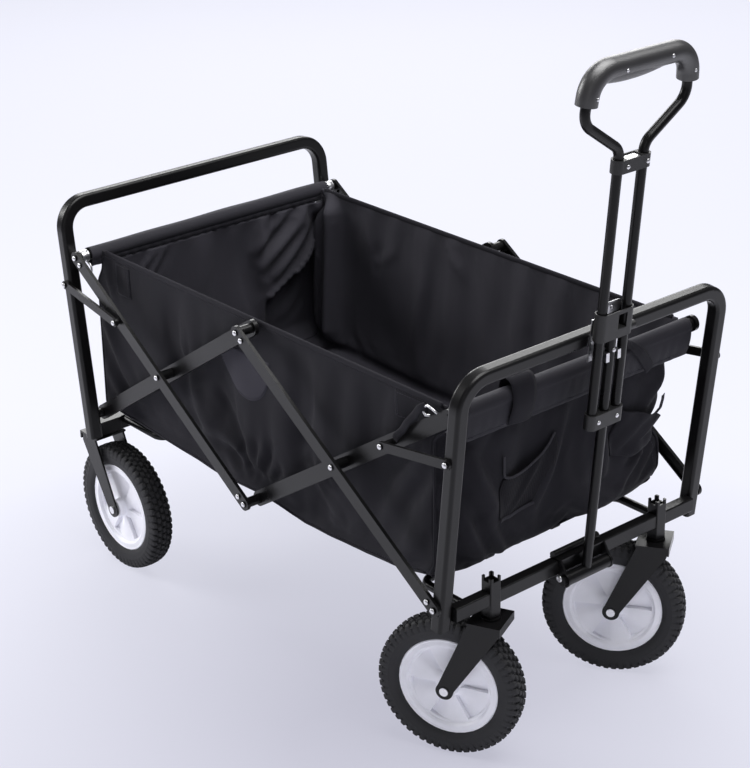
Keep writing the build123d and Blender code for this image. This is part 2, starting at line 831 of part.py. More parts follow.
with BuildPart() as handle_loop:
    with BuildLine(handle_plane) as loop_path:
        FilletPolyline(
            (-tube_y, low_clamp - slider_tall / 2),
            (-tube_y, flare_h),
            (-loop_half, loop_h),
            (-grip_half, grip_h),
            (grip_half, grip_h),
            (loop_half, loop_h),
            (tube_y, flare_h),
            (tube_y, low_clamp - slider_tall / 2),
            radius=[neck_bend, shoulder_bend, corner_bend, corner_bend, shoulder_bend, neck_bend],
        )
    with BuildSketch(Plane(origin=loop_path.line @ 0, z_dir=loop_path.line % 0)):
        Circle(tube_r)
    sweep()
save(handle_loop, "handle_loop")

with BuildPart() as handle_yoke:
    with BuildSketch(across(top_clamp - yoke_tall / 2)):
        SlotCenterToCenter(2 * tube_y, clamp_deep)
        with Locations((tube_y, 0), (-tube_y, 0)):
            Circle(tube_r + hold_gap, mode=Mode.SUBTRACT)
    extrude(amount=yoke_tall)
    with BuildSketch(across(top_clamp + yoke_tall / 2 - yoke_dish)):
        Rectangle(2 * (tube_y - tube_r) - 2 * clamp_wall, clamp_deep - 2 * clamp_wall)
    extrude(amount=yoke_dish, mode=Mode.SUBTRACT)
save(handle_yoke, "handle_yoke")

leg_end = along((grip_half, grip_h), (loop_half, loop_h), grip_leg)
with BuildPart() as handle_grip:
    with BuildLine(handle_plane) as grip_path:
        FilletPolyline(
            (-leg_end[0], leg_end[1]),
            (-grip_half, grip_h),
            (grip_half, grip_h),
            leg_end,
            radius=corner_bend,
        )
    with BuildSketch(Plane(origin=grip_path.line @ 0, z_dir=grip_path.line % 0)):
        Circle(grip_r)
        Circle(tube_r + hold_gap, mode=Mode.SUBTRACT)
    sweep()
save(handle_grip, "handle_grip")
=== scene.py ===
"""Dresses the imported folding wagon: cloth bag, treaded tyres, moulded wheels, rivets and finishes."""
import json
import math

import bmesh
import bpy
import numpy as np
from bpy.props import FloatProperty, FloatVectorProperty, IntProperty, PointerProperty
from mathutils import Matrix, Vector


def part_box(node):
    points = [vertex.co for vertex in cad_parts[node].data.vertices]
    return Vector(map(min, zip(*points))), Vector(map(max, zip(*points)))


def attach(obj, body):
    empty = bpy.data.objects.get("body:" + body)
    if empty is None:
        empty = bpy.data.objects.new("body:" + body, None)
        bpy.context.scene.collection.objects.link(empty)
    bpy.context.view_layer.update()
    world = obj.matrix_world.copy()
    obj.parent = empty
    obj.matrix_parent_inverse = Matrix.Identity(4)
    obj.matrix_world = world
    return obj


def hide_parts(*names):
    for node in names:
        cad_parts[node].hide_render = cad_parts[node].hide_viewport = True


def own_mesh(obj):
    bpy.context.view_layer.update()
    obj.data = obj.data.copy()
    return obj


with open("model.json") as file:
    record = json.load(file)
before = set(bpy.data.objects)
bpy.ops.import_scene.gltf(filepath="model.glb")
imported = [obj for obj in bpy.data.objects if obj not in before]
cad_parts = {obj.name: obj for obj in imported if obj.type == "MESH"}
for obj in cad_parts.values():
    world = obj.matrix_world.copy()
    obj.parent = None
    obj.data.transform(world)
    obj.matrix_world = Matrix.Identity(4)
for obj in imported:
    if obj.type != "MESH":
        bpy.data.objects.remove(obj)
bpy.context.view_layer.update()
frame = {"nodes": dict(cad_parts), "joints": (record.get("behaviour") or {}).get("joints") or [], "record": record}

bl_info = {
    "name": "Folding wagon",
    "version": (1, 0, 0),
    "blender": (4, 5, 0),
    "location": "3D View > Sidebar > Wagon",
    "description": "Builds the cloth, wheels, fastenings and finishes of a folding utility wagon",
    "category": "Object",
}

JOINTS = {joint["name"]: joint for joint in frame["joints"]}
MM = 0.001
# Points of a closed piece that lie nearer than this are one point.
MERGE = 0.001 * MM


def pivot(name):
    """Place of a joint's axis at rest."""
    return np.array(JOINTS[name]["pos_m"], float)


def corners(node):
    """Lowest and highest corner of a CAD node as arrays."""
    low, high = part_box(node)
    return np.array(low, float), np.array(high, float)


# Pivots at the ends, crossings and middles of the scissor sides' bars.
FRONT_LOW = pivot("fold")
MID_HIGH = pivot("fold_mid_top")
FRONT_HIGH = pivot("fold_front_hem")
REAR_HIGH = pivot("fold_rear_hem")
FRONT_CROSS = pivot("fold_front_cross")
REAR_CROSS = pivot("fold_rear_cross")
MID_LOW = np.array([MID_HIGH[0], 0.0, FRONT_LOW[2]])
HANDLE_UP = np.array(JOINTS["handle_slide"]["axis"], float)
BAG_LOW, BAG_HIGH = corners("bag_sides")
WHEELS = ("front_right", "front_left", "rear_right", "rear_left")
SIDES = ((-1, "right"), (1, "left"))


# --- settings ----------------------------------------------------------


def length_setting(name, description, default):
    """Setting for a length."""
    return FloatProperty(name=name, description=description, default=default, unit="LENGTH")


def angle_setting(name, description, degrees):
    """Setting for an angle, given in degrees."""
    return FloatProperty(name=name, description=description, default=math.radians(degrees), subtype="ANGLE")


def colour_setting(name, description, default):
    """Setting for a colour."""
    return FloatVectorProperty(name=name, description=description, default=default, subtype="COLOR")


class WagonCloth(bpy.types.PropertyGroup):
    """Sizes and colour of the bag."""

    thickness: length_setting("Cloth thickness", "Thickness of the bag's cloth", 1.4 * MM)
    bulge: length_setting("Bulge", "How far the bag's walls sag inwards", 5.0 * MM)
    corner: length_setting("Corner radius", "Radius between wall and floor", 12.0 * MM)
    slack: FloatProperty(name="Slack", description="Spare length of the cloth as a share of its length", default=0.012)
    steps: IntProperty(name="Steps", description="Steps of time in which the cloth settles", default=60)
    weight: length_setting("Weight", "Fall of free cloth in the first step of time", 0.04 * MM)
    colour: colour_setting("Cloth colour", "Colour of the woven cloth", (0.0140, 0.0134, 0.0172))


class WagonWheels(bpy.types.PropertyGroup):
    """Sizes and colours of the tyres and wheels."""

    blocks: IntProperty(name="Tread blocks", description="Blocks round each tyre", default=56)
    tread: length_setting("Tread depth", "Height of a block", 3.6 * MM)
    wedges: IntProperty(name="Wedges", description="Sunk wedges on each side of a wheel", default=6)
    sunk: length_setting("Wedge depth", "Deepest edge of a sunk wedge", 6.0 * MM)
    rubber: colour_setting("Rubber colour", "Colour of the tyres", (0.0165, 0.0165, 0.0185))
    plastic: colour_setting("Wheel colour", "Colour of the moulded wheels", (0.90, 0.90, 0.96))


class WagonFrame(bpy.types.PropertyGroup):
    """Sizes and colours of the steel frame's fastenings and finishes."""

    rivet: length_setting("Rivet radius", "Radius of a rivet's dome", 3.8 * MM)
    paint: colour_setting("Paint colour", "Colour of the painted steel", (0.0048, 0.0046, 0.0050))
    zinc: colour_setting("Zinc colour", "Colour of rivets and bolts", (0.66, 0.66, 0.68))


class WagonStage(bpy.types.PropertyGroup):
    """Place, turn and lens of the camera."""

    azimuth: angle_setting("Azimuth", "Camera's angle round the wagon", 49.74)
    elevation: angle_setting("Elevation", "Camera's angle above the floor", 24.07)
    roll: angle_setting("Roll", "Camera's tilt", -1.09)
    distance: length_setting("Distance", "Camera's distance from its target", 3.035)
    target: FloatVectorProperty(
        name="Target",
        description="Point that the camera looks at, from the middle of the scissor sides",
        default=(-0.14026, 0.11301, 0.27682),
        subtype="TRANSLATION",
    )
    lens: FloatProperty(name="Lens", description="Focal length in millimetres", default=93.33)


# --- meshes ------------------------------------------------------------


def grid_faces(rows, columns, wrap_rows=False, wrap_columns=False):
    """Four-sided faces between neighbouring points of a grid, as rows of point numbers."""
    number = np.arange(rows * columns).reshape(rows, columns)
    if wrap_rows:
        number = np.vstack([number, number[:1]])
    if wrap_columns:
        number = np.hstack([number, number[:, :1]])
    ring = [number[:-1, :-1], number[1:, :-1], number[1:, 1:], number[:-1, 1:]]
    return np.stack(ring, axis=-1).reshape(-1, 4)


def mesh_object(name, points, faces, body, slot, material, uv=None):
    """Object from an array of points and an array of faces, riding on a body."""
    mesh = bpy.data.meshes.new(name)
    mesh.from_pydata(np.asarray(points).reshape(-1, 3).tolist(), [], np.asarray(faces).tolist())
    mesh.polygons.foreach_set("use_smooth", np.ones(len(mesh.polygons), bool))
    if uv is not None:
        layer = mesh.uv_layers.new(name="UVMap")
        corner = np.empty(len(mesh.loops), int)
        mesh.loops.foreach_get("vertex_index", corner)
        layer.data.foreach_set("uv", np.asarray(uv).reshape(-1, 2)[corner].ravel())
    mesh.update()
    piece = bpy.data.objects.new(name, mesh)
    bpy.context.scene.collection.objects.link(piece)
    mesh.materials.append(material)
    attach(piece, body)
    return piece


def closed_piece(name, skin, body, slot, material, crease=None):
    """Piece with a closed skin, given as points and faces.

    Its doubled points are merged and its faces turned outwards. Edges sharper than `crease`, in
    degrees, stay crisp.
    """
    piece = mesh_object(name, *skin, body, slot, finish(material))
    shape = bmesh.new()
    shape.from_mesh(piece.data)
    bmesh.ops.remove_doubles(shape, verts=shape.verts, dist=MERGE)
    bmesh.ops.recalc_face_normals(shape, faces=shape.faces)
    shape.to_mesh(piece.data)
    shape.free()
    if crease:
        piece.data.set_sharp_from_angle(angle=math.radians(crease))
    return piece


def joined(grids):
    """Points and faces of several closed grids as one mesh; an array may hold several grids itself."""
    points, faces, count = [], [], 0
    for grid in grids:
        rows, columns = grid.shape[-3:-1]
        batch = grid.size // (rows * columns * 3)
        one = grid_faces(rows, columns, wrap_columns=True)
        first = count + np.arange(batch)[:, None, None] * rows * columns
        points.append(grid.reshape(-1, 3))
        faces.append((one[None] + first).reshape(-1, 4))
        count += batch * rows * columns
    return np.concatenate(points), np.concatenate(faces)


def unit(vectors):
    """Vectors at length 1."""
    return vectors / np.linalg.norm(vectors, axis=-1, keepdims=True)


def arc_length(points):
    """Length from the first point to each point of a line of points, along the first axis."""
    steps = np.linalg.norm(np.diff(points, axis=0), axis=-1)
    zero = np.zeros((1,) + steps.shape[1:])
    return np.concatenate([zero, np.cumsum(steps, axis=0)])


def turned(profile, centre, axis, count):
    """Surface of revolution: (radius, height) pairs turned about an axis through the centre."""
    axis = unit(np.asarray(axis, float))
    start = np.array([1.0, 0.0, 0.0] if abs(axis[2]) > 0.9 else [0.0, 0.0, 1.0])
    first = unit(start - (start @ axis) * axis)
    second = np.cross(axis, first)
    angle = np.linspace(0, 2 * math.pi, count, endpoint=False)[:, None]
    radial = (np.cos(angle) * first + np.sin(angle) * second)[None]
    radius, height = profile[:, None, :1], profile[:, None, 1:]
    return np.asarray(centre) + radial * radius + axis * height


def smooth_step(value):
    """0 below 0, 1 above 1 and an even slope between."""
    value = np.clip(value, 0.0, 1.0)
    return value * value * (3 - 2 * value)


# --- shader maths ------------------------------------------------------


class Value:
    """A shader socket. Arithmetic on it adds Math nodes, so an expression reads as a formula."""

    def __init__(self, graph, socket):
        self.graph = graph
        self.socket = socket

    def math(self, operation, *others):
        return self.graph.node("ShaderNodeMath", {"operation": operation}, self, *others)

    def __add__(self, other):
        return self.math("ADD", other)

    def __mul__(self, other):
        return self.math("MULTIPLY", other)

    __radd__ = __add__
    __rmul__ = __mul__

    def between(self, low, high):
        """0 at low, 1 at high, held outside."""
        return self.graph.node("ShaderNodeMapRange", {"clamp": True}, self, low, high, 0.0, 1.0)

    def wave(self, pitch):
        """Sine wave that repeats after each pitch."""
        return (self * (2 * math.pi / pitch)).math("SINE")


class Graph:
    """Node tree of one material round its Principled shader, with the colour that it varies."""

    def __init__(self, name, colour=(1.0, 1.0, 1.0)):
        self.material = bpy.data.materials.new(name)
        self.material.use_nodes = True
        self.tree = self.material.node_tree
        self.shader = self.tree.nodes["Principled BSDF"]
        self.colour = tuple(colour)
        self.place = self.node("ShaderNodeTexCoord", {}, output="Object")

    def feed(self, sockets, name, value):
        """Link a value to a socket or set it to a constant; None leaves the socket as it is."""
        socket = sockets[name.replace("_", " ") if isinstance(name, str) else name]
        if isinstance(value, Value):
            self.tree.links.new(value.socket, socket)
        elif value is not None:
            socket.default_value = (*value, 1.0) if socket.type == "RGBA" else value

    def node(self, kind, settings, *inputs, output=0, **named):
        """Add a node of a kind: settings first, then values or links for its sockets in order or by name."""
        node = self.tree.nodes.new(kind)
        for name, value in settings.items():
            setattr(node, name, value)
        for name, value in [*enumerate(inputs), *named.items()]:
            self.feed(node.inputs, name, value)
        return Value(self, node.outputs[output])

    def noise(self, scale, detail, roughness=0.5):
        return self.node("ShaderNodeTexNoise", {}, Vector=self.place, Scale=scale, Detail=detail, Roughness=roughness)

    def mix(self, factor, first, second):
        """Colour between two colours or colour sockets, the seventh and eighth of the node."""
        return self.node("ShaderNodeMix", {"data_type": "RGBA"}, factor, *[None] * 5, first, second, output=2)

    def tones(self, factor, low, high):
        """The finish's colour between two tints of it."""
        return self.mix(factor, tinted(self.colour, low), tinted(self.colour, high))

    def bump(self, height, distance, strength):
        return self.node("ShaderNodeBump", {}, Strength=strength, Distance=distance, Height=height)

    def set(self, **sockets):
        """Feed the Principled shader's sockets, by name with underscores, and hand over the material."""
        for name, value in sockets.items():
            self.feed(self.shader.inputs, name, value)
        return self.material


def tinted(colour, factor):
    """Colour made lighter or darker by a factor."""
    return tuple(min(1.0, channel * factor) for channel in colour)


def powder_coat(scene):
    """Satin black powder coat: a fine orange peel and slightly uneven gloss."""
    graph = Graph("powder_coat", scene.wagon_frame.paint)
    cloudy = graph.noise(9.0, 2.0)
    return graph.set(
        Base_Color=graph.tones(cloudy.between(0.35, 0.65), 0.85, 1.2),
        Roughness=cloudy * 0.10 + 0.24,
        Specular_IOR_Level=0.22,
        Normal=graph.bump(graph.noise(900.0, 2.0), 0.12 * MM, 0.5),
    )


def zinc_plate(scene):
    """Bright zinc on rivets and bolts, brushed unevenly."""
    graph = Graph("zinc_plate", scene.wagon_frame.zinc)
    cloudy = graph.noise(260.0, 3.0)
    return graph.set(Base_Color=graph.tones(cloudy, 0.8, 1.1), Metallic=1.0, Roughness=cloudy * 0.2 + 0.22)


def tyre_rubber(scene):
    """Matt black rubber with a faint dusty bloom."""
    graph = Graph("tyre_rubber", scene.wagon_wheels.rubber)
    dust = graph.noise(34.0, 4.0, 0.6).between(0.42, 0.72)
    return graph.set(
        Base_Color=graph.tones(dust * 0.5, 1.0, 1.7),
        Roughness=dust * 0.16 + 0.62,
        Specular_IOR_Level=0.35,
        Normal=graph.bump(graph.noise(1500.0, 2.0), 0.2 * MM, 0.4),
    )


def wheel_plastic(scene):
    """Pale moulded plastic with a soft gloss and faint flow marks."""
    graph = Graph("wheel_plastic", scene.wagon_wheels.plastic)
    flow = graph.noise(22.0, 3.0)
    return graph.set(
        Base_Color=graph.tones(flow.between(0.3, 0.7), 0.94, 1.04),
        Roughness=flow * 0.12 + 0.42,
        Normal=graph.bump(graph.noise(1100.0, 2.0), 0.08 * MM, 0.4),
    )


def black_plastic(scene):
    """Moulded black plastic with a fine spark-eroded grain."""
    graph = Graph("black_plastic", scene.wagon_frame.paint)
    grain = graph.noise(1300.0, 2.0)
    return graph.set(
        Base_Color=graph.tones(graph.noise(30.0, 2.0), 0.95, 1.35),
        Roughness=grain * 0.14 + 0.42,
        Normal=graph.bump(grain, 0.12 * MM, 0.5),
    )


def foam_grip(scene):
    """Dense rubber foam with a fine skin."""
    graph = Graph("foam_grip", tinted(scene.wagon_frame.paint, 2.6))
    pores = graph.noise(1700.0, 3.0, 0.6)
    return graph.set(
        Base_Color=graph.tones(graph.noise(26.0, 3.0).between(0.35, 0.7), 1.0, 1.4),
        Roughness=pores * 0.12 + 0.33,
        Specular_IOR_Level=1.0,
        Normal=graph.bump(pores, 0.2 * MM, 0.6),
    )


def woven(name, colour, pitch, ribs, shine):
    """Plain weave on the piece's own map, in metres: warp and weft stand up in turn."""
    graph = Graph(name, colour)
    split = graph.node("ShaderNodeSeparateXYZ", {}, graph.node("ShaderNodeTexCoord", {}, output="UV"))
    across, down = (Value(graph, socket) for socket in split.socket.node.outputs[:2])
    weave = across.wave(pitch) * down.wave(pitch) * 0.5 + 0.5
    cloudy = graph.noise(7.0, 4.0, 0.55)
    height = weave + graph.noise(420.0, 2.0) * 0.6
    if ribs:
        height = height + across.wave(ribs) * 1.5
    tone = graph.tones(cloudy.between(0.3, 0.7), 0.88, 1.14)
    return graph.set(
        Base_Color=graph.mix(weave * 0.35, tone, tinted(colour, 1.5)),
        Roughness=cloudy * 0.12 + 0.66,
        Specular_IOR_Level=shine,
        Sheen_Weight=0.02,
        Sheen_Roughness=0.45,
        Normal=graph.bump(height, 0.22 * MM, 0.55),
    )


SOLIDS = {
    "powder_coat": powder_coat, "zinc_plate": zinc_plate, "tyre_rubber": tyre_rubber,
    "wheel_plastic": wheel_plastic, "black_plastic": black_plastic, "foam_grip": foam_grip,
}
# Woven finishes: tint of the cloth's colour, pitch of the weave and of its ribs in millimetres, shine.
CLOTHS = {
    "bag_cloth": (1.0, 1.1, 0.0, 0.1),
    # The lining's lighter tint is painted light for the bright inside of the bag; its higher shine is the coating's
    # own.
    "bag_lining": (2.1, 1.1, 0.0, 0.22),
    "sleeve_cloth": (1.45, 1.1, 0.0, 0.2),
    "patch_cloth": (2.6, 1.1, 0.0, 0.1),
    "net_cloth": (0.7, 3.4, 3.4, 0.1),
    "webbing": (1.1, 1.4, 2.4, 0.1),
    "thread": (3.0, 0.8, 0.0, 0.1),
}
SLOT_FINISH = {
    "frame": "powder_coat",
    "bolt": "zinc_plate",
    "tyre": "tyre_rubber",
    "rim": "wheel_plastic",
    "black_plastic": "black_plastic",
    "grip": "foam_grip",
    "cloth": "bag_cloth",
}
MATERIALS = {}


def finish(name):
    """A finish by name, made once from the settings."""
    if name not in MATERIALS:
        scene = bpy.context.scene
        if name in CLOTHS:
            tint, pitch, ribs, shine = CLOTHS[name]
            MATERIALS[name] = woven(name, tinted(scene.wagon_cloth.colour, tint), pitch * MM, ribs * MM, shine)
        else:
            MATERIALS[name] = SOLIDS[name](scene)
    return MATERIALS[name]


class WAGON_OT_finishes(bpy.types.Operator):
    """Give every CAD piece the finish of its material slot"""

    bl_idname = "wagon.finishes"
    bl_label = "Finish the frame"

    def execute(self, context):
        for entry in frame["record"]["subparts"]:
            node = frame["nodes"][entry["node"]]
            node.data.materials.clear()
            node.data.materials.append(finish(SLOT_FINISH[entry["material_slot"]]))
        return {"FINISHED"}


# --- bag ---------------------------------------------------------------

HALF_WIDTH = float(BAG_HIGH[1])
FLOOR_Z = float(BAG_LOW[2])
TOP_Z = float(BAG_HIGH[2])
MID_X = float(MID_LOW[0])
FRONT_PANEL_LOW, FRONT_PANEL_HIGH = corners("bag_front")
# Radius of the sleeves round the hem tubes.
SLEEVE = float(FRONT_PANEL_HIGH[0] - FRONT_HIGH[0])
# X of the end panels' feet; in front the cloth runs through the CAD panel, 3 mm inside it.
FRONT_FOOT = float(FRONT_PANEL_LOW[0]) + 3 * MM
REAR_FOOT = float(BAG_LOW[0])
# Cells of the cloth: down a wall to the middle of its lower corner, across the floor, and along the bag.
WALL_CELLS = 36
FLOOR_CELLS = 56
LONG_CELLS = 88
# Distance from the middle at which the scissor sides' inner bars hold the cloth back.
BAR_INSIDE = HALF_WIDTH + 4 * MM
# Half width of the floor that lies still on its rails.
STILL_FLOOR = 0.15
# Cells of a wall that stand above the top of each end panel.
PANEL_TOP = {"rear": 3, "front": 6}
# Height above the floor from which the seams draw in under the hem, and over which they do.
HEM_START, HEM_RISE = 0.205, 0.035
# Thickness of the patches, of the pocket, band and straps, and of the sleeves.
PATCH, TRIM, SLEEVE_WALL = 0.8 * MM, 1.0 * MM, 1.2 * MM
# Height of stitches over the cloth, and over a patch.
STITCH_LIFT, PATCH_STITCH_LIFT = 0.9 * MM, 2.0 * MM


def creases(across, down, folds):
    """Soft ridges in a cloth. A fold is (across, down) of its two ends, width and height, in millimetres.

    The height is a bell across the fold with a shallow valley on one side, and fades at both ends.
    """
    total = np.zeros(np.broadcast(across, down).shape)
    for start_a, start_d, end_a, end_d, width, height in MM * np.array(folds):
        run_a, run_d = end_a - start_a, end_d - start_d
        length = math.hypot(run_a, run_d)
        run_a, run_d = run_a / length, run_d / length
        along_fold = ((across - start_a) * run_a + (down - start_d) * run_d) / length
        off = ((down - start_d) * run_a - (across - start_a) * run_d) / width
        fade = np.sin(math.pi * np.clip(along_fold, 0, 1)) ** 0.6
        total += height * fade * (np.exp(-off ** 2) - 0.55 * np.exp(-(off - 1.5) ** 2))
    return total


def rumple(across, down, size, seed):
    """Slow uneven swell of slack cloth: six crossing sine waves with fixed random directions."""
    draw = np.random.default_rng(seed)
    total = np.zeros(np.broadcast(across, down).shape)
    for _ in range(6):
        angle, phase = draw.uniform(0, 2 * math.pi, 2)
        wave = size * draw.uniform(0.7, 1.6)
        total += np.sin((across * math.cos(angle) + down * math.sin(angle)) * 2 * math.pi / wave + phase)
    return total / 6


def bell(value, centre, width):
    """1 at the centre, falling away on both sides over the width."""
    return np.exp(-(((value - centre) / width) ** 2))


def seam_x(z, front):
    """X of an end's upright corner seams: nearly upright, and drawn in under the hem at the top."""
    rise = z - FLOOR_Z
    tuck = smooth_step((rise - HEM_START) / HEM_RISE)
    if front:
        return FRONT_FOOT - 0.001 + 0.010 * smooth_step(rise / 0.034) + 0.026 * tuck
    return REAR_FOOT + 0.015 * rise + 0.0145 * tuck


def panel_x(z, front):
    """X of an end panel halfway across: a straight line from its foot to its seam below the hem."""
    share = np.clip((z - FLOOR_Z) / (FRONT_HIGH[2] - FLOOR_Z), 0, 1)
    if front:
        return FRONT_FOOT - 0.002 + share * (FRONT_HIGH[0] + 0.004 - FRONT_FOOT)
    return REAR_FOOT + share * (REAR_HIGH[0] + 0.006 - REAR_FOOT)


def section(corner):
    """Right wall, floor and left wall in a cross-section, as y and height.

    Each half is a straight wall, a quarter circle and half the floor.
    """
    wall = TOP_Z - FLOOR_Z - corner
    turn = corner * math.pi / 2
    flat = HALF_WIDTH - corner
    upper = np.linspace(0, wall + turn / 2, WALL_CELLS + 1)
    lower = np.linspace(wall + turn / 2, wall + turn + flat, FLOOR_CELLS // 2 + 1)[1:]
    run = np.concatenate([upper, lower])
    angle = np.clip(run - wall, 0, turn) / corner
    y = HALF_WIDTH - corner * (1 - np.cos(angle)) - np.clip(run - wall - turn, 0, flat)
    z = FLOOR_Z + corner * (1 - np.sin(angle)) + np.clip(wall - run, 0, wall)
    return np.concatenate([-y, y[-2::-1]]), np.concatenate([z, z[-2::-1]])


# Creases, as `creases` takes them. Right wall, by x from the middle pivots and height: fanning up
# from the lower middle pivot, down from the rear hem, and under the front corner.
RIGHT_FOLDS = [
    (-40, 258, -98, 306, 7, 6), (-34, 258, -62, 324, 6, 7), (-26, 258, -26, 338, 6, 8), (-16, 258, 12, 350, 7, 7),
    (-6, 262, 40, 320, 7, 5), (-378, 500, -360, 420, 7, 8), (-366, 504, -335, 440, 7, 6),
    (-384, 400, -352, 300, 9, 7), (-372, 330, -300, 262, 9, 6), (-350, 380, -270, 280, 10, 4),
    (330, 470, 270, 380, 10, 6), (338, 420, 262, 300, 10, 7), (330, 330, 230, 262, 10, 6),
    (290, 440, 215, 300, 11, 5), (120, 480, 60, 330, 16, 6), (-20, 500, -300, 300, 20, 9), (0, 420, 260, 262, 18, 10),
    (-190, 318, 50, 262, 13, 10), (-240, 470, -150, 280, 18, 9), (-120, 400, -20, 270, 13, 8),
    (60, 330, 180, 256, 12, 8),
]
# Left wall, in the same way: two long ones under its upper edge, one upright by the rear corner.
LEFT_FOLDS = [
    (-276, 505, -238, 400, 10, 6), (-245, 410, -170, 486, 12, 9), (-185, 476, -110, 515, 12, 7),
    (-130, 512, -20, 452, 13, 9), (-120, 480, -150, 300, 14, 6), (40, 500, 120, 380, 14, 6),
    (200, 505, 260, 360, 15, 6), (320, 480, 250, 330, 12, 7), (330, 370, 230, 300, 11, 6),
]
# Rear panel, by y and height: falling from its upper left corner.
REAR_FOLDS = [
    (190, 486, 80, 402, 11, -11), (198, 470, 110, 384, 10, -12), (204, 450, 140, 352, 10, -10),
    (150, 494, 66, 432, 10, -8), (100, 494, 78, 412, 10, -6), (-90, 492, -132, 436, 7, -7),
    (-104, 492, -150, 446, 6, -6), (-20, 486, -30, 330, 20, -4), (118, 350, 112, 300, 6, -9),
    (128, 346, 130, 292, 6, -9),
]
# Front panel.
FRONT_FOLDS = [
    (-190, 460, -120, 330, 11, 11), (-196, 380, -130, 270, 11, 13), (-150, 350, -90, 262, 10, 9),
    (196, 466, 120, 400, 10, 8), (186, 372, 100, 352, 10, 9), (188, 366, 110, 310, 10, 8),
    (-10, 460, -60, 320, 12, 11), (40, 455, 70, 330, 12, 11), (20, 330, 120, 280, 12, 9),
]


# Height of the lower corners against the flat floor, by x from the middle pivots.
DROOP_X = [-0.392, -0.355, -0.118, -0.014, 0.079, 0.205, 0.333]
DROOP_Z = [0.004, 0.003, -0.004, -0.001, -0.008, -0.004, 0.005]


def trough(scene):
    """Right wall, floor and left wall of the bag as one grid, before it settles.

    Rows run from the rear to the front and columns from the right top edge, under the floor, to
    the left top edge. Every row is the cross-section moved along straight lines between the
    corner seams. The lower corners droop between the floor rails and rise at the front. The walls
    sag inwards and crease; the left one is drawn in low at the front and stands in a ridge behind.
    """
    y, z = section(scene.wagon_cloth.corner)
    share = np.linspace(0, 1, LONG_CELLS + 1)[:, None]
    x = seam_x(z, False) + (seam_x(z, True) - seam_x(z, False)) * share
    run = x - MID_X
    rise = z - FLOOR_Z
    left = y > 0
    droop = np.interp(run, DROOP_X, DROOP_Z) * smooth_step((np.abs(y) - 0.14) / 0.06)
    droop = droop * (1 - smooth_step(rise / 0.08))
    droop = droop + 0.006 * smooth_step((share - 0.9) / 0.1) * (1 - smooth_step(rise / 0.05))
    upright = np.sin(math.pi * np.clip(rise / (TOP_Z - FLOOR_Z), 0, 1))
    loose = upright ** 0.5 * np.sin(math.pi * share) ** 0.5
    sag = scene.wagon_cloth.bulge * np.clip(1 - (run / 0.36) ** 2, 0, 1) * upright
    right_creases = creases(run, z, RIGHT_FOLDS) + 0.006 * rumple(x, z, 0.13, 3)
    left_creases = creases(run, z, LEFT_FOLDS) + 0.004 * rumple(x, z, 0.12, 4)
    inset = sag + np.where(y < 0, right_creases, left_creases) * loose
    inset = inset + 0.034 * bell(rise, 0.120, 0.028) * smooth_step((share - 0.93) / 0.07) * left
    ridge = 0.026 * bell(run, -0.340, 0.013) - 0.010 * bell(run, -0.372, 0.012)
    inset = inset + ridge * smooth_step((TOP_Z - z) / 0.03) * smooth_step(rise / 0.04) * left
    inset = inset * smooth_step(rise / 0.02)
    swell = 0.0012 * rumple(x, y, 0.16, 9) * smooth_step((0.2 - np.abs(y)) / 0.05)
    return np.stack(np.broadcast_arrays(x, np.sign(y) * (np.abs(y) - inset), z + droop + swell), axis=-1)


def end_panel(body, name):
    """An end panel between the trough's two corner seams and its floor edge, before it settles.

    Rows run from right to left and columns from the top down. The panel is the even blend of
    its four edges, moved out to the line under the hem tube, then creased. The front one has a
    belly; the rear one is tucked in, with a lip, below a slanting line at its upper left.
    """
    front = name == "front"
    edge = body[-1 if front else 0]
    upright = slice(PANEL_TOP[name], WALL_CELLS + 1)
    right, left = edge[upright], edge[::-1][upright]
    foot = edge[WALL_CELLS : WALL_CELLS + FLOOR_CELLS + 1]
    across = np.linspace(0, 1, FLOOR_CELLS + 1)[:, None, None]
    down = np.linspace(0, 1, len(right))[None, :, None]
    head = right[0] + (left[0] - right[0]) * across[:, 0]
    sides = right[None] * (1 - across) + left[None] * across
    ends = head[:, None] * (1 - down) + foot[:, None] * down
    corner_blend = (
        right[0] * (1 - across) * (1 - down) + left[0] * across * (1 - down)
        + right[-1] * (1 - across) * down + left[-1] * across * down
    )
    points = sides + ends - corner_blend
    inwards = 1 - np.abs(2 * across[..., 0] - 1)
    free = smooth_step(inwards / 0.22)
    y, z = points[..., 1], points[..., 2]
    rise = z - FLOOR_Z
    points[..., 0] += (panel_x(z, front) - points[..., 0]) * free * smooth_step(rise / 0.02)
    loose = creases(y, z, FRONT_FOLDS if front else REAR_FOLDS) + 0.002 * rumple(y, z, 0.10, 31 if front else 32)
    if front:
        out = loose + 0.012 * bell(z, 0.36, 0.07) * free
    else:
        seam = np.interp(y, [0.100, 0.159, 0.201], [0.349, 0.388, 0.430])
        below = seam - z
        tuck = 0.016 * smooth_step(below / 0.006) * smooth_step((y - 0.098) / 0.012)
        lip = 0.007 * bell(below, -0.004, 0.006) * smooth_step((y - 0.094) / 0.012)
        out = lip - loose * (1 - smooth_step(below / 0.01) * smooth_step((y - 0.09) / 0.02)) - tuck
    points[..., 0] += out * smooth_step(inwards / 0.05) * smooth_step(rise / 0.03)
    return points


def thread_pairs(number, rows, columns):
    """Point pairs `rows` and `columns` apart on a grid, in two lots that use no point twice."""
    start = number[: number.shape[0] - rows, : number.shape[1] - columns]
    end = number[rows:, columns:]
    if rows:
        place = np.arange(start.shape[0])[:, None] // rows
    else:
        place = np.arange(start.shape[1])[None, :] // columns
    odd = np.broadcast_to(place % 2 == 1, start.shape)
    return [(start[odd], end[odd]), (start[~odd], end[~odd])]


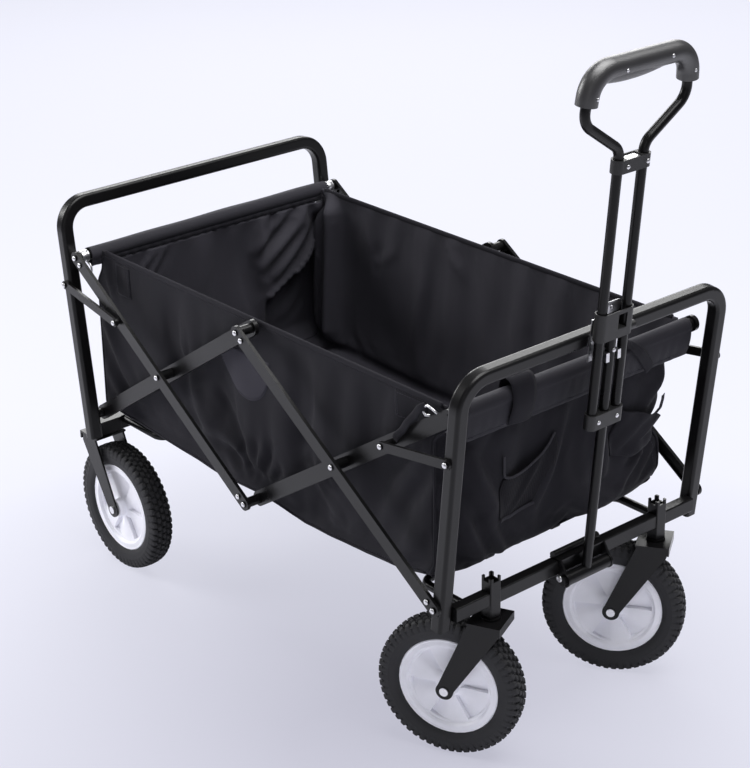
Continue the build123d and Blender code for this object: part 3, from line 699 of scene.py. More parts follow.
# Rows and columns that a thread spans, and how firmly it keeps its length: along and across the
# weave, on the bias, and over two and four cells, which keeps the cloth from folding sharply.
THREADS = ((1, 0, 1.0), (0, 1, 1.0), (1, 1, 0.5), (2, 0, 0.35), (0, 2, 0.35), (4, 0, 0.12), (0, 4, 0.12))
KEPT_MOVEMENT = 0.94
MENDS = 3


def settle(points, grids, slack, held, steps, weight):
    """Let sewn cloths find their shape, in `steps` small steps of time.

    Every thread between two points has the length that it has in the given shape, and slack
    more. In each step the free points fall a little and keep most of their last movement, then
    the threads are put right in turn: both ends of a thread move along it by half of what it is
    too long or too short. The cloth stays inside the frame's bars.
    """
    lots = []
    for number in grids:
        for rows, columns, firmness in THREADS:
            pairs = thread_pairs(number, rows, columns)
            if rows and columns:
                pairs += thread_pairs(number[:, ::-1], rows, columns)
            for first, second in pairs:
                length = np.linalg.norm(points[second] - points[first], axis=1)
                length *= 1 + (slack[first] + slack[second]) / 2
                moves = np.stack([~held[first], ~held[second]]).astype(float)
                share = firmness * moves / np.maximum(moves.sum(axis=0), 1)
                lots.append((first, second, length, share[0][:, None], share[1][:, None]))
    free = (~held)[:, None]
    fall = np.array([0.0, 0.0, -weight])
    points = points.copy()
    before = points.copy()
    for _ in range(steps):
        drift = (points - before) * KEPT_MOVEMENT
        before = points.copy()
        points += free * (drift + fall)
        for _ in range(MENDS):
            for first, second, length, first_share, second_share in lots:
                gap = points[second] - points[first]
                size = np.sqrt((gap * gap).sum(axis=1))
                pull = gap * ((size - length) / size)[:, None]
                points[first] += pull * first_share
                points[second] -= pull * second_share
        points[:, 1] = np.clip(points[:, 1], -BAR_INSIDE, BAR_INSIDE)
    return points


def refined(points, axis):
    """Twice as many points along an axis: each new one lies on the cubic through its four neighbours."""
    line = np.moveaxis(points, axis, 0)
    padded = np.concatenate([2 * line[:1] - line[1:2], line, 2 * line[-1:] - line[-2:-1]])
    middle = (9 * (padded[1:-2] + padded[2:-1]) - padded[:-3] - padded[3:]) / 16
    result = np.empty((2 * len(line) - 1,) + line.shape[1:])
    result[0::2] = line
    result[1::2] = middle
    return np.moveaxis(result, 0, axis)


class Surface:
    """A grid of points that can be read between its points and lifted off, outwards from the bag."""

    def __init__(self, points, outward):
        self.points = points
        self.normals = outward * unit(np.cross(np.gradient(points, axis=0), np.gradient(points, axis=1)))

    def at(self, row, column, lift=0.0):
        """Points at fractional rows and columns, by even blending, lifted along the normal."""
        rows, columns = self.points.shape[:2]
        row, column, lift = np.broadcast_arrays(np.asarray(row, float), column, lift)
        row = np.clip(row, 0, rows - 1.001)
        column = np.clip(column, 0, columns - 1.001)
        i, j = row.astype(int), column.astype(int)
        s, t = (row - i)[..., None], (column - j)[..., None]

        def blend(grid):
            upper = grid[i, j] * (1 - s) + grid[i + 1, j] * s
            lower = grid[i, j + 1] * (1 - s) + grid[i + 1, j + 1] * s
            return upper * (1 - t) + lower * t

        return blend(self.points) + blend(self.normals) * lift[..., None]


# The settled cloths by name, and the height of one cell of their refined grids on a wall.
BAG = {}


def make_bag(scene):
    """Settle the bag once: trough and end panels sewn together, held at the hems, edges and floor.

    The right wall is tauter than the left one, and the rear panel is slackest at its upper left.
    """
    if BAG:
        return BAG
    cloth = scene.wagon_cloth
    body = trough(scene)
    y, z = body[..., 1], body[..., 2]
    count = y.size
    numbers = {"body": np.arange(count).reshape(y.shape)}
    held = (np.abs(y) < STILL_FLOOR) & (z < FLOOR_Z + 0.01)
    held[:, [0, -1]] = held[[0, -1]] = True
    slack = np.where(y < 0, 0.6, 1.0) * cloth.slack
    lots = [(body.reshape(-1, 3), held.ravel(), slack.ravel())]
    for name in ("rear", "front"):
        panel = end_panel(body, name)
        y, z = panel[..., 1], panel[..., 2]
        edge = numbers["body"][-1 if name == "front" else 0]
        upright = slice(PANEL_TOP[name], WALL_CELLS + 1)
        number = np.full(y.shape, -1)
        number[0] = edge[upright]
        number[-1] = edge[::-1][upright]
        number[:, -1] = edge[WALL_CELLS : WALL_CELLS + FLOOR_CELLS + 1]
        new = number < 0
        number[new] = count + np.arange(new.sum())
        count += int(new.sum())
        numbers[name] = number
        held = np.zeros(y.shape, bool)
        held[:, 0] = True
        if name == "front":
            more = 2.2 + 0.8 * np.sin(y * 30)
        else:
            more = 0.8 + 1.6 * smooth_step((y - 0.02) / 0.12) * smooth_step((z - 0.33) / 0.08)
        lots.append((panel[new], held[new], (more * cloth.slack)[new]))
    points, held, slack = (np.concatenate(values) for values in zip(*lots))
    steps = cloth.steps
    points = settle(points, numbers.values(), slack, held, steps, cloth.weight)
    for name, number in numbers.items():
        grid = refined(refined(points[number], 0), 1)
        BAG[name] = Surface(grid, 1.0 if name == "rear" else -1.0)
    wall = TOP_Z - FLOOR_Z - cloth.corner + cloth.corner * math.pi / 4
    BAG["cell"] = wall / WALL_CELLS / 2
    return BAG


def wall_place(x, z, side):
    """Row and column of the trough's grid at a place on a side wall: x from the middle pivots, height."""
    x, z = np.broadcast_arrays(np.asarray(x, float) + MID_X, np.asarray(z, float))
    rows, columns = BAG["body"].points.shape[:2]
    share = (x - seam_x(z, False)) / (seam_x(z, True) - seam_x(z, False))
    column = (TOP_Z - z) / BAG["cell"]
    return share * (rows - 1), column if side < 0 else columns - 1 - column


def panel_place(y, z, name):
    """Row and column of an end panel's grid at a y and a height."""
    y, z = np.broadcast_arrays(np.asarray(y, float), np.asarray(z, float))
    rows = BAG[name].points.shape[0]
    share = (y + HALF_WIDTH) / (2 * HALF_WIDTH)
    return share * (rows - 1), (TOP_Z - z) / BAG["cell"] - 2 * PANEL_TOP[name]


def on_wall(x, z, side, lift):
    """Points on a side wall at x from the middle pivots and a height, lifted off it."""
    return BAG["body"].at(*wall_place(x, z, side), lift)


def on_panel(y, z, name, lift):
    """Points on an end panel at a y and a height, lifted off it."""
    return BAG[name].at(*panel_place(y, z, name), lift)


def cut_size(points):
    """Width and length of the rectangle that a grid's cloth was cut from, and the cloth's own area."""
    width = float(arc_length(points)[-1].max())
    length = float(arc_length(points.swapaxes(0, 1))[-1].max())
    step_a = points[1:, :-1] - points[:-1, :-1]
    step_b = points[:-1, 1:] - points[:-1, :-1]
    area = float(np.linalg.norm(np.cross(step_a, step_b), axis=-1).sum())
    return (width, length), min(area, width * length)


def cloth_piece(name, points, body, material="bag_cloth", thickness=None, outward=0):
    """Sheet from a grid of points with a map in metres, given its thickness.

    With `outward` (1 or -1 times the way of its rows crossed with its columns), the other face
    has the coated lining. Its extra shine is the coating's own; its lighter tint is painted light, standing in for the
    light that falls inside the bag.
    """
    uv = np.stack(np.broadcast_arrays(arc_length(points), arc_length(points.swapaxes(0, 1)).T), axis=-1)
    faces = grid_faces(*points.shape[:2])
    if outward < 0:
        faces = faces[:, ::-1]
    piece = mesh_object(name, points, faces, body, "cloth", finish(material), uv)
    solid = piece.modifiers.new("thickness", "SOLIDIFY")
    solid.thickness = thickness or bpy.context.scene.wagon_cloth.thickness
    solid.offset = 0.0
    if outward:
        # The inner face gets the lighter lining: painted light inside the bag.
        piece.data.materials.append(finish("bag_lining"))
        solid.material_offset = 1
    return piece


def squash_with_fold(piece):
    """Give a piece of the bag its own copy of its mesh."""
    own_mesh(piece)


def tube(path, radius, sides=8, flat=1.0):
    """Closed tube along a line: a circle, or an oval `flat` times as thick, carried square to it."""
    path = np.asarray(path, float)
    tangent = unit(np.gradient(path, axis=0))
    level = np.array([0.0, 1.0, 0.0]) if abs(tangent[:, 1]).max() < 0.9 else np.array([1.0, 0.0, 0.0])
    side = unit(np.cross(tangent, level))
    other = np.cross(tangent, side)
    angle = np.linspace(0, 2 * math.pi, sides, endpoint=False)[None, :, None]
    ring = side[:, None] * np.cos(angle) * radius + other[:, None] * np.sin(angle) * radius * flat
    ends = np.repeat(path[[0, -1], None], sides, axis=1)
    return np.concatenate([ends[:1], path[:, None] + ring, ends[1:]])


def tubes(name, paths, radius, body, slot, material, sides=8, flat=1.0):
    """One piece from several tubes of one thickness."""
    return closed_piece(name, joined([tube(path, radius, sides, flat) for path in paths]), body, slot, material)


def stitches(path, pitch=4.4 * MM, length=2.9 * MM, radius=0.4 * MM):
    """A row of stitches along a line: short spindles, each from one hole to the next.

    Each spindle has four rings of five points: a point, two full rings and a point.
    """
    path = np.asarray(path, float)
    run = arc_length(path)
    start = np.arange(0, run[-1] - length, pitch)[:, None]
    stations = start + length * np.array([0.0, 0.2, 0.8, 1.0])
    centre = np.stack([np.interp(stations, run, path[:, axis]) for axis in range(3)], axis=-1)
    tangent = unit(centre[:, -1:] - centre[:, :1])
    side = unit(np.cross(tangent, [0.31, 0.52, 0.79]))
    other = np.cross(tangent, side)
    angle = np.linspace(0, 2 * math.pi, 5, endpoint=False)[:, None]
    swell = radius * np.array([0.0, 1.0, 1.0, 0.0])[None, :, None, None]
    return centre[:, :, None] + (np.cos(angle) * side[:, :, None] + np.sin(angle) * other[:, :, None]) * swell


def stitch_piece(name, paths, body):
    """One piece from the stitches along several lines."""
    return closed_piece(name, joined([stitches(path) for path in paths]), body, "cloth", "thread")


def ribbon(name, path, outward, width, body, material="webbing"):
    """Flat strap along a line of points: its width lies square to the line and to `outward`.

    `outward` is one direction, or one for each point of the line. The line is evened out, and
    the strap is a little higher along its middle than at its edges.
    """
    path = np.asarray(path, float)
    run = arc_length(path)
    even = np.linspace(0, run[-1], 61)
    line, outward = (
        np.stack([np.interp(even, run, values[:, axis]) for axis in range(3)], axis=-1)
        for values in (path, np.broadcast_to(outward, path.shape))
    )
    for _ in range(6):
        line[1:-1] = (line[:-2] + 2 * line[1:-1] + line[2:]) / 4
    tangent = np.gradient(line, axis=0)
    side = unit(np.cross(tangent, outward))
    curl = unit(np.cross(side, tangent))
    share = np.linspace(-0.5, 0.5, 7)[None, :, None]
    grid = line[:, None] + side[:, None] * share * width + curl[:, None] * 0.06 * width * (1 - 4 * share ** 2)
    return cloth_piece(name, grid, body, material, TRIM)


def line_between(start, end, count):
    """Even points from start to end, as an array of each coordinate."""
    return [np.linspace(a, b, count) for a, b in zip(start, end)]


def from_middle(points):
    """Points given with x from the middle pivots, as places in the frame."""
    return np.asarray(points, float) + [MID_X, 0.0, 0.0]


# Ends of the walls' long rows of stitches, by x from the middle pivots.
WALL_RUN = (-0.365, 0.352)
# Upper edge of the half-moon patches.
MOON_TOP = 0.460
# Corner patches on the walls: x from the middle pivots and height of their two corners, then
# where their stitches start and end in x and in height, and the x of a row inside them.
CORNER_PATCHES = {
    "rear": ((-0.340, 0.503), (-0.304, 0.455), (-0.3375, -0.3065), (0.4575, 0.5005), -0.3105),
    "front": ((0.276, 0.505), (0.336, 0.470), (0.2785, 0.3335), (0.4725, 0.5025), 0.2825),
}


def moon_outline(angle, reach):
    """Place on a half-moon patch: its straight top hangs under the flat bar, its rear half is wider."""
    wide = np.where(np.cos(angle) < 0, 0.072, 0.048)
    return -0.030 + wide * reach * np.cos(angle), MOON_TOP + 0.068 * reach * np.sin(angle)


class WAGON_OT_bag_body(bpy.types.Operator):
    """Make the bag's walls and floor as one settled trough with bound edges, seams and patches"""

    bl_idname = "wagon.bag_body"
    bl_label = "Bag body"

    def execute(self, context):
        surface = make_bag(context.scene)["body"]
        body = cloth_piece("bag_body", surface.points, "hem_front", outward=-1)
        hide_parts("bag_sides")
        trims = [self.bindings(surface), self.foot_seams(surface), *self.patches(), self.seams()]
        flat, area = cut_size(surface.points)
        for piece in [body, *trims]:
            squash_with_fold(piece)
        return {"FINISHED"}

    def bindings(self, surface):
        """Folded tape over both top edges."""
        paths = [surface.points[2:-2, column] - [0.0, 0.0, 1.6 * MM] for column in (0, -1)]
        return tubes("bag_binding", paths, 4.2 * MM, "hem_front", "cloth", "webbing", 12, 0.42)

    def foot_seams(self, surface):
        """Piping along both lower edges."""
        rows = np.arange(2, surface.points.shape[0] - 2)
        columns = surface.points.shape[1]
        paths = [surface.at(rows, place, 1.2 * MM) for place in (2 * WALL_CELLS - 1, columns - 2 * WALL_CELLS)]
        return tubes("bag_foot_piping", paths, 1.7 * MM, "hem_front", "cloth", "webbing")

    def patches(self):
        """Half-moon patch under each middle pivot and a doubled patch at each upper corner."""
        made = []
        for side, hand in SIDES:
            angle = np.linspace(math.pi, 2 * math.pi, 49)[:, None]
            reach = np.linspace(0, 1, 15)[None, :]
            x, z = moon_outline(angle, reach)
            rim = smooth_step((1 - reach) / 0.05)
            lift = 1.5 * MM * np.minimum(rim, smooth_step(np.abs(z - MOON_TOP) / (2 * MM)) + 0.2)
            grid = on_wall(x, z, side, lift)
            made.append(cloth_piece("bag_moon_" + hand, grid, "hem_front", "patch_cloth", PATCH))
            for spot, (start, end, *_) in CORNER_PATCHES.items():
                x, z = line_between(start, end, 17)
                from_rim = 1 - np.abs(np.linspace(-1, 1, 17))
                rim = smooth_step(np.minimum(from_rim[:, None], from_rim) / 0.08)
                grid = on_wall(x[:, None], z, side, 1.3 * MM * rim)
                made.append(cloth_piece("bag_patch_" + spot + "_" + hand, grid, "hem_front", "bag_cloth", PATCH))
        return made

    def seams(self):
        """Rows of stitches: below the bindings, along the lower edges and round the patches."""
        paths = []
        for side, _ in SIDES:
            long = np.linspace(*WALL_RUN, 260)
            paths += [on_wall(long, z, side, STITCH_LIFT) for z in (TOP_Z - 6.5 * MM, FLOOR_Z + 9 * MM)]
            angle = np.linspace(math.pi + 0.05, 2 * math.pi - 0.05, 60)
            paths.append(on_wall(*moon_outline(angle, 0.95), side, PATCH_STITCH_LIFT + 0.1 * MM))
            for *_, (low_x, high_x), (low_z, high_z), inner in CORNER_PATCHES.values():
                box = [(low_x, high_z), (low_x, low_z), (high_x, low_z), (high_x, high_z), (low_x, high_z)]
                lines = [*zip(box, box[1:], [24] * 4), ((inner, low_z), (inner, high_z), 20)]
                paths += [on_wall(*line_between(*line), side, PATCH_STITCH_LIFT) for line in lines]
        return stitch_piece("bag_wall_stitches", paths, "hem_front")


def sleeve_loop(front):
    """Side view of the cloth round a hem tube: a round top that narrows to a seam below.

    The seam lies under the tube's inner side at the rear, and further down at the front.
    """
    radius = SLEEVE - 0.7 * MM
    tip = np.array([1.0, -40.0]) * MM if front else np.array([-3.0, -17.0]) * MM
    wide = 0.12 * math.pi if front else 0.22 * math.pi
    angle = np.linspace(-wide, math.pi + wide, 40)
    turn = radius * np.stack([np.cos(angle), np.sin(angle)], axis=-1)
    share = np.linspace(0, 1, 14)[:, None]
    bow = np.sin(math.pi * share) * 1.5 * MM
    outer_tip, inner_tip = tip + [1.4 * MM, 0], tip - [1.4 * MM, 0]
    outer = outer_tip + (turn[0] - outer_tip) * share + bow * [1, 0]
    inner = turn[-1] + (inner_tip - turn[-1]) * share - bow * [1, 0]
    loop = np.concatenate([outer[:-1], turn, inner[1:]])
    return loop if front else loop * [-1, 1]


# Net pocket on the front panel: y of its right edge, and width along its top.
POCKET_RIGHT = -0.1195
POCKET_WIDTH = 0.0845
# Tape on the pocket, by y and height: down to its corner, then along its top edge.
POCKET_TAPE = np.array([
    (-0.1255, 0.4285), (-0.1235, 0.4120), (-0.1205, 0.3995), (-0.1100, 0.3965), (-0.0950, 0.3970),
    (-0.0800, 0.3985), (-0.0660, 0.4030), (-0.0540, 0.4090), (-0.0440, 0.4185), (-0.0350, 0.4315),
])
# Short tie on the front panel, by y and height.
TIE = np.array([(0.160, 0.426), (0.169, 0.412), (0.178, 0.400), (0.187, 0.388), (0.193, 0.378)])
# Narrow strap over the front hem, as places from the tube's middle, and the way that each faces.
SLANT = MM * np.array([
    (-12.0, 60.0, 4.0), (-6.0, 68.0, 12.0), (4.0, 78.0, 14.5), (12.0, 90.0, 7.0), (13.5, 104.0, -6.0),
    (10.5, 117.0, -21.0), (8.0, 129.0, -37.0),
])
SLANT_FACING = [(-0.4, 0, 1), (-0.2, 0, 1), (0.3, 0, 1), (0.8, 0, 0.6), (1, 0, 0), (1, 0, -0.1), (1, 0, -0.2)]
# Strap beside the front bar, by x from the middle pivots.
BAR_STRAP = [
    (0.352, -0.2255, 0.512), (0.345, -0.2285, 0.508), (0.334, -0.2270, 0.494), (0.322, -0.2290, 0.480),
    (0.312, -0.2275, 0.466), (0.301, -0.2285, 0.455), (0.296, -0.2260, 0.448),
]


def pocket_foot(share):
    """Height of the net pocket's lower edge at a share of its width: it rises and sags a little."""
    return 0.341 + 0.004 * share - 0.005 * np.sin(math.pi * share)


class WAGON_OT_bag_trims(bpy.types.Operator):
    """Sew pocket, band and straps on the front end and hang a strap from the front bars"""

    bl_idname = "wagon.bag_trims"
    bl_label = "Bag trims"

    def execute(self, context):
        make_bag(context.scene)
        grid = self.pocket()
        pocket = cloth_piece("bag_pocket", grid, "hem_front", "net_cloth", TRIM)
        flat, area = cut_size(grid)
        others = [*self.pocket_trim(), self.band(), *self.loops()]
        strap = ribbon("bar_strap", from_middle(BAR_STRAP), (0.1, -1.0, 0.05), 10 * MM, "bar_front")
        return {"FINISHED"}

    def pocket(self):
        """Net pocket: its open top edge stands off, sags and climbs steeply at the left.

        A crease slants across it.
        """
        across = np.linspace(0, 1, 33)[:, None]
        down = np.linspace(0, 1, 33)[None, :]
        y = POCKET_RIGHT + POCKET_WIDTH * across - 0.0205 * across * down
        y = y + 0.014 * across ** 2 * np.sin(math.pi * down)
        top = 0.396 + 0.035 * across ** 4
        z = top + (pocket_foot(across) - top) * down
        middle = np.sin(math.pi * across)
        lift = 0.0015 + 0.007 * middle * (1 - down) ** 1.5 + 0.003 * middle * np.sin(math.pi * down)
        crease = bell(across, 0.78 - 0.5 * down, 0.09)
        lift = lift + 0.0045 * crease * middle ** 0.5 * np.sin(math.pi * (0.15 + 0.8 * down))
        return on_panel(y, z, "front", lift)

    def pocket_trim(self):
        """Elastic tape that falls to the pocket's corner and follows its top edge, and a band at its foot."""
        y, z = POCKET_TAPE.T
        stand = np.sin(math.pi * np.clip((y - POCKET_RIGHT) / POCKET_WIDTH, 0, 1))
        tape = on_panel(y, z, "front", 0.0035 + 0.0075 * stand)
        share = np.linspace(0, 1, 25)
        foot = on_panel(-0.119 + 0.064 * share, pocket_foot(share), "front", 0.0035)
        return [
            ribbon(name, path, (1, 0, 0), width * MM, "hem_front", "sleeve_cloth")
            for name, path, width in (("bag_pocket_tape", tape, 3.6), ("bag_pocket_band", foot, 5))
        ]

    def band(self):
        """Wide band sewn across the panel's left half, loose along its upper edge."""
        share = np.linspace(0, 1, 49)[:, None]
        down = np.linspace(0, 1, 21)[None, :]
        top = np.interp(share, [0, 0.5, 1], [0.421, 0.407, 0.380])
        low = np.interp(share, [0, 0.5, 1], [0.366, 0.346, 0.352])
        y = 0.092 + (0.112 - 0.008 * down) * share
        z = top + (low - top) * down
        belly = np.sin(math.pi * share) ** 0.7
        lift = 0.002 + belly * (0.012 * (1 - down) ** 2 + 0.006 * np.sin(math.pi * down))
        lift = lift + 0.0015 * np.sin(share * 23 + 4 * down) * belly
        return cloth_piece("bag_band", on_panel(y, z, "front", lift), "hem_front", "bag_cloth", TRIM)

    def loops(self):
        """Straps over the front hem: a broad one at the right, a narrow slanting one and a short tie."""
        turn = np.linspace(math.pi, 0.0, 21)
        reach = 0.0130 + 0.010 * np.sin(np.clip(turn * 1.15 - 0.3, 0, math.pi)) ** 2
        radial = np.stack([np.cos(turn), 0 * turn, np.sin(turn)], axis=-1)
        start = MM * np.array([(-12.5, -103.0, -14.0)])
        over = radial * reach[:, None] - [0.0, 0.104, 0.0]
        down = MM * np.array([(14.0, -106.0, -12.0), (11.5, -108.0, -24.0), (7.5, -109.0, -37.0)])
        facing = np.concatenate([radial[:1], radial, [[1.0, 0.0, -0.2]] * 3])
        path = FRONT_HIGH + np.concatenate([start, over, down])
        tie = on_panel(*TIE.T, "front", 0.009)
        return (
            ribbon("bag_loop_right", path, facing, 40 * MM, "hem_front", "bag_cloth"),
            ribbon("bag_loop_left", FRONT_HIGH + SLANT, SLANT_FACING, 16 * MM, "hem_front"),
            ribbon("bag_tie", tie, (1, 0, 0), 6 * MM, "hem_front"),
        )


class WAGON_OT_bag_ends(bpy.types.Operator):
    """Make the bag's end panels, the sleeves round the hem tubes, the seams and the stitches"""

    bl_idname = "wagon.bag_ends"
    bl_label = "Bag ends"

    def execute(self, context):
        make_bag(context.scene)
        for name in ("front", "rear"):
            self.end(name)
        return {"FINISHED"}

    def end(self, name):
        """Panel, sleeve, corner piping and stitches of one end."""
        surface = BAG[name]
        body = "hem_" + name
        way = 1.0 if name == "front" else -1.0
        panel = cloth_piece("bag_panel_" + name, surface.points, body, outward=-way)
        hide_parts("bag_" + name)
        grid = self.sleeve(name)
        sleeve = cloth_piece("bag_sleeve_" + name, grid, body, "sleeve_cloth", SLEEVE_WALL)
        edge = BAG["body"].points[-1 if name == "front" else 0] + [way * 1.2 * MM, 0.0, 0.0]
        wall = 2 * WALL_CELLS
        paths = [edge[4:wall], edge[::-1][4:wall], edge[wall:-wall]]
        piping = tubes("bag_piping_" + name, paths, 1.9 * MM, body, "cloth", "webbing")
        thread = stitch_piece("bag_stitches_" + name, self.rows(surface, grid, [way * 1.0 * MM, 0.0, 0.0]), body)
        flat, area = cut_size(surface.points)
        flat, area = cut_size(grid)

    def sleeve(self, name):
        """Sleeve round a hem tube: its side view carried along the tube, puckered towards its seam."""
        front = name == "front"
        top = FRONT_HIGH if front else REAR_HIGH
        low, high = corners("bag_" + name)
        out_x, up = sleeve_loop(front).T
        across = np.linspace(low[1] + 1 * MM, high[1] - 1 * MM, 220)[:, None]
        near_seam = smooth_step((-up - 2 * MM) / (0.020 if front else 0.012))
        pucker = np.sin(across * 2 * math.pi / 0.019 + 2.2 * rumple(across, 0 * across, 0.05, 17))
        swell = 0.9 * MM * rumple(across * 0.35, up * 1.6, 0.06, 21 if front else 22)
        out = swell + (0.3 if front else 0.6) * MM * pucker * near_seam
        x = top[0] + out_x + out * np.sign(out_x) * smooth_step(np.abs(out_x) / (4 * MM))
        z = top[2] + up + swell * (up > 0)
        return np.stack(np.broadcast_arrays(x, across, z), axis=-1)

    def rows(self, surface, sleeve, out):
        """Lines of stitches: along the sleeve's seam on both faces and down the corner seams."""
        down = np.linspace(6, surface.points.shape[1] - 8, 60)
        far = surface.points.shape[0] - 4
        corner_rows = [surface.at(row, down, STITCH_LIFT) for row in (3, far)]
        return [sleeve[3:-3, 2] + out, sleeve[3:-3, -3] - out, *corner_rows]


# --- wheels ------------------------------------------------------------


def wheel_ring(name, place, surface, slot, material, crease):
    """Closed ring about a wheel's level axle, from its surface's angles, and radii and offsets by angle."""
    angle, radii, offsets = surface
    axis = np.array(JOINTS["roll_" + place]["axis"], float)
    up = np.array([0.0, 0.0, 1.0])
    turn = np.cos(angle)[:, None, None] * up + np.sin(angle)[:, None, None] * np.cross(up, axis)
    points = pivot("roll_" + place) + turn * radii[..., None] + axis * offsets[..., None]
    faces = grid_faces(*points.shape[:2], wrap_rows=True, wrap_columns=True)
    return closed_piece(name + place, (points, faces), "wheel_" + place, slot, material, crease)


def rim_radius(place):
    """Outer radius of a wheel's rim, from the CAD node."""
    low, high = corners("rim_" + place)
    return float(high[2] - low[2]) / 2


# Where a tread block's section changes, round the tyre as shares of a pitch, and half its length.
BLOCK_STEPS = np.array([0.0, 0.07, 0.13, 0.22, 0.36, 0.5, 0.64, 0.78, 0.87, 0.93])
HALF_BLOCK = 0.40
# The same across a row of blocks, as shares of its half width, and the rows' middles and half width.
BLOCK_SPREAD = np.array([-1.08, -0.92, -0.78, -0.4, 0.4, 0.78, 0.92, 1.08])
BLOCK_ROWS = np.array([-0.80, -0.42, 0.0, 0.42, 0.80])
HALF_ROW = 0.158
# A side wall from the tread to the bead: how far in it lies, and its share of the half width.
WALL_DROP = MM * np.array([8.5, 12.0, 15.5, 16.5, 17.5, 21.0, 25.0])
WALL_WIDTH = np.array([0.985, 1.0, 0.995, 1.01, 0.99, 0.975, 0.94, 0.86, 0.74])
TYRE_HALF = 18 * MM
# Depth of the hollows between the lugs of a side wall at the tread.
LUG = 1.4 * MM


def tyre_surface(radius, bead, blocks, depth):
    """Tyre as angles, and radii and offsets by angle: a round casing with five rows of blocks.

    A block is a flat-topped pebble, one row's width across and most of a pitch long; its height
    falls from 1 to 0 near the edge of the shape u^4 + v^4 = 1, where u and v are the distances
    from its middle round and across the tyre. Every second row is moved by half a pitch, and lugs
    run down the side walls from the outer rows.
    """
    phase = (np.arange(blocks)[:, None] + BLOCK_STEPS).ravel()
    share = (BLOCK_ROWS[:, None] + HALF_ROW * BLOCK_SPREAD).ravel()
    moved = np.repeat([0.0, 0.5, 0.0, 0.5, 0.0], len(BLOCK_SPREAD))
    across = np.tile(BLOCK_SPREAD, len(BLOCK_ROWS))
    forward = ((phase[:, None] + moved) % 1.0 - 0.5) / HALF_BLOCK
    lift = smooth_step((1.04 - (forward ** 4 + across ** 4) ** 0.25) / 0.22)
    casing = radius - depth - 2.0 * MM * share ** 2 - 2.5 * MM * np.abs(share) ** 6
    tread = casing + depth * lift
    wall = np.append(radius - WALL_DROP, [bead + 3 * MM, bead])
    wall = np.broadcast_to(wall, (len(phase), len(wall)))
    lug = smooth_step((0.95 - np.abs((phase % 1.0 - 0.5) / 0.42)) / 0.3)
    out = TYRE_HALF * WALL_WIDTH - LUG * (1 - lug[:, None]) * np.exp(-np.arange(len(WALL_WIDTH)) * 1.1)
    radii = np.concatenate([wall[:, ::-1], tread, wall], axis=1)
    offsets = np.concatenate([-out[:, ::-1], np.broadcast_to(TYRE_HALF * share, tread.shape), out], axis=1)
    return phase / blocks * 2 * math.pi, radii, offsets


class WAGON_OT_tyres(bpy.types.Operator):
    """Make the four tyres with their block tread"""

    bl_idname = "wagon.tyres"
    bl_label = "Tyres"

    def execute(self, context):
        wheels = context.scene.wagon_wheels
        for place in WHEELS:
            radius = pivot("roll_" + place)[2]
            surface = tyre_surface(radius, rim_radius(place), wheels.blocks, wheels.tread)
            piece = wheel_ring("tyre_tread_", place, surface, "tyre", "tyre_rubber", 35)
            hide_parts("tyre_" + place)
        return {"FINISHED"}


# A wheel's section from its bore to its lip: radius, and height of the face out from the middle.
RIM_PROFILE = MM * np.array([
    (5.0, 21.0), (11.0, 21.0), (12.6, 20.4), (13.4, 17.5), (14.4, 9.4), (16.0, 8.4), (19.0, 8.0),
    (22.0, 8.0), (30.0, 8.0), (40.0, 8.0), (50.0, 8.2), (53.4, 8.4), (54.0, 8.4), (54.5, 8.5),
    (57.0, 9.0), (58.2, 11.6), (60.0, 13.2), (63.0, 13.4), (65.6, 12.6), (66.6, 12.8), (68.2, 13.6),
])
# Height of the lip's edge, and the radii between which the wedges are sunk.
LIP_HEIGHT = 12.6 * MM
HUB_RADIUS, DISH_RADIUS = 16 * MM, 53.4 * MM


def rim_surface(outer, wedges, depth):
    """Both faces of a wheel from bore to outer lip, as angles, and radii and offsets by angle.

    Round the dish, flat wedges alternate with sunk ones of the same width. A sunk wedge starts
    with a sharp step down and rises evenly back to the face. It ends in a steep wall below the
    lip and runs out above the hub.
    """
    steps = np.array([0.0, 0.16, 0.33, 0.492, 0.508, 0.62, 0.74, 0.87])
    phase = (np.arange(wedges)[:, None] + steps).ravel()
    part = phase % 1.0
    sunk = np.where(part > 0.5, 1 - (part - 0.508) / 0.492, 0.0)
    radius = np.append(RIM_PROFILE[:, 0], outer)
    height = np.append(RIM_PROFILE[:, 1], LIP_HEIGHT)
    reach = smooth_step((radius - HUB_RADIUS) / (6 * MM)) * (1 - smooth_step((radius - DISH_RADIUS) / MM))
    face = height - depth * sunk[:, None] * reach
    radii = np.broadcast_to(np.concatenate([radius, radius[::-1]]), (len(phase), 2 * len(radius)))
    return phase / wedges * 2 * math.pi, radii, np.concatenate([face, -face[:, ::-1]], axis=1)


class WAGON_OT_rims(bpy.types.Operator):
    """Make the four moulded wheels with sunk wedges on both faces"""

    bl_idname = "wagon.rims"
    bl_label = "Wheels"

    def execute(self, context):
        wheels = context.scene.wagon_wheels
        for place in WHEELS:
            surface = rim_surface(rim_radius(place), wheels.wedges, wheels.sunk)
            piece = wheel_ring("wheel_disc_", place, surface, "rim", "wheel_plastic", 30)
            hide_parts("rim_" + place)
        return {"FINISHED"}


# --- rivets ------------------------------------------------------------


def along(start, end, distance=14.0 * MM):
    """Point at a distance from start towards end, seen from the side."""
    level = np.array([1.0, 0.0, 1.0])
    return start * level + unit((end - start) * level) * distance


def studs(name, body, spots, radius):
    """Rivet domes at given places, each turned to face its own way: pairs of a place and a direction.

    A dome has a flat flange, a round rise of about half its radius and a small flat top.
    """
    angle = np.linspace(0, math.pi / 2, 7)
    dome = np.stack([radius * np.cos(angle), 0.5 * MM + radius * 0.48 * np.sin(angle)], axis=-1)
    profile = np.concatenate([[[radius, -0.3 * MM]], dome])
    grids = [turned(profile, place, facing, 20) for place, facing in spots]
    closed_piece(name, joined(grids), body, "bolt", "zinc_plate")


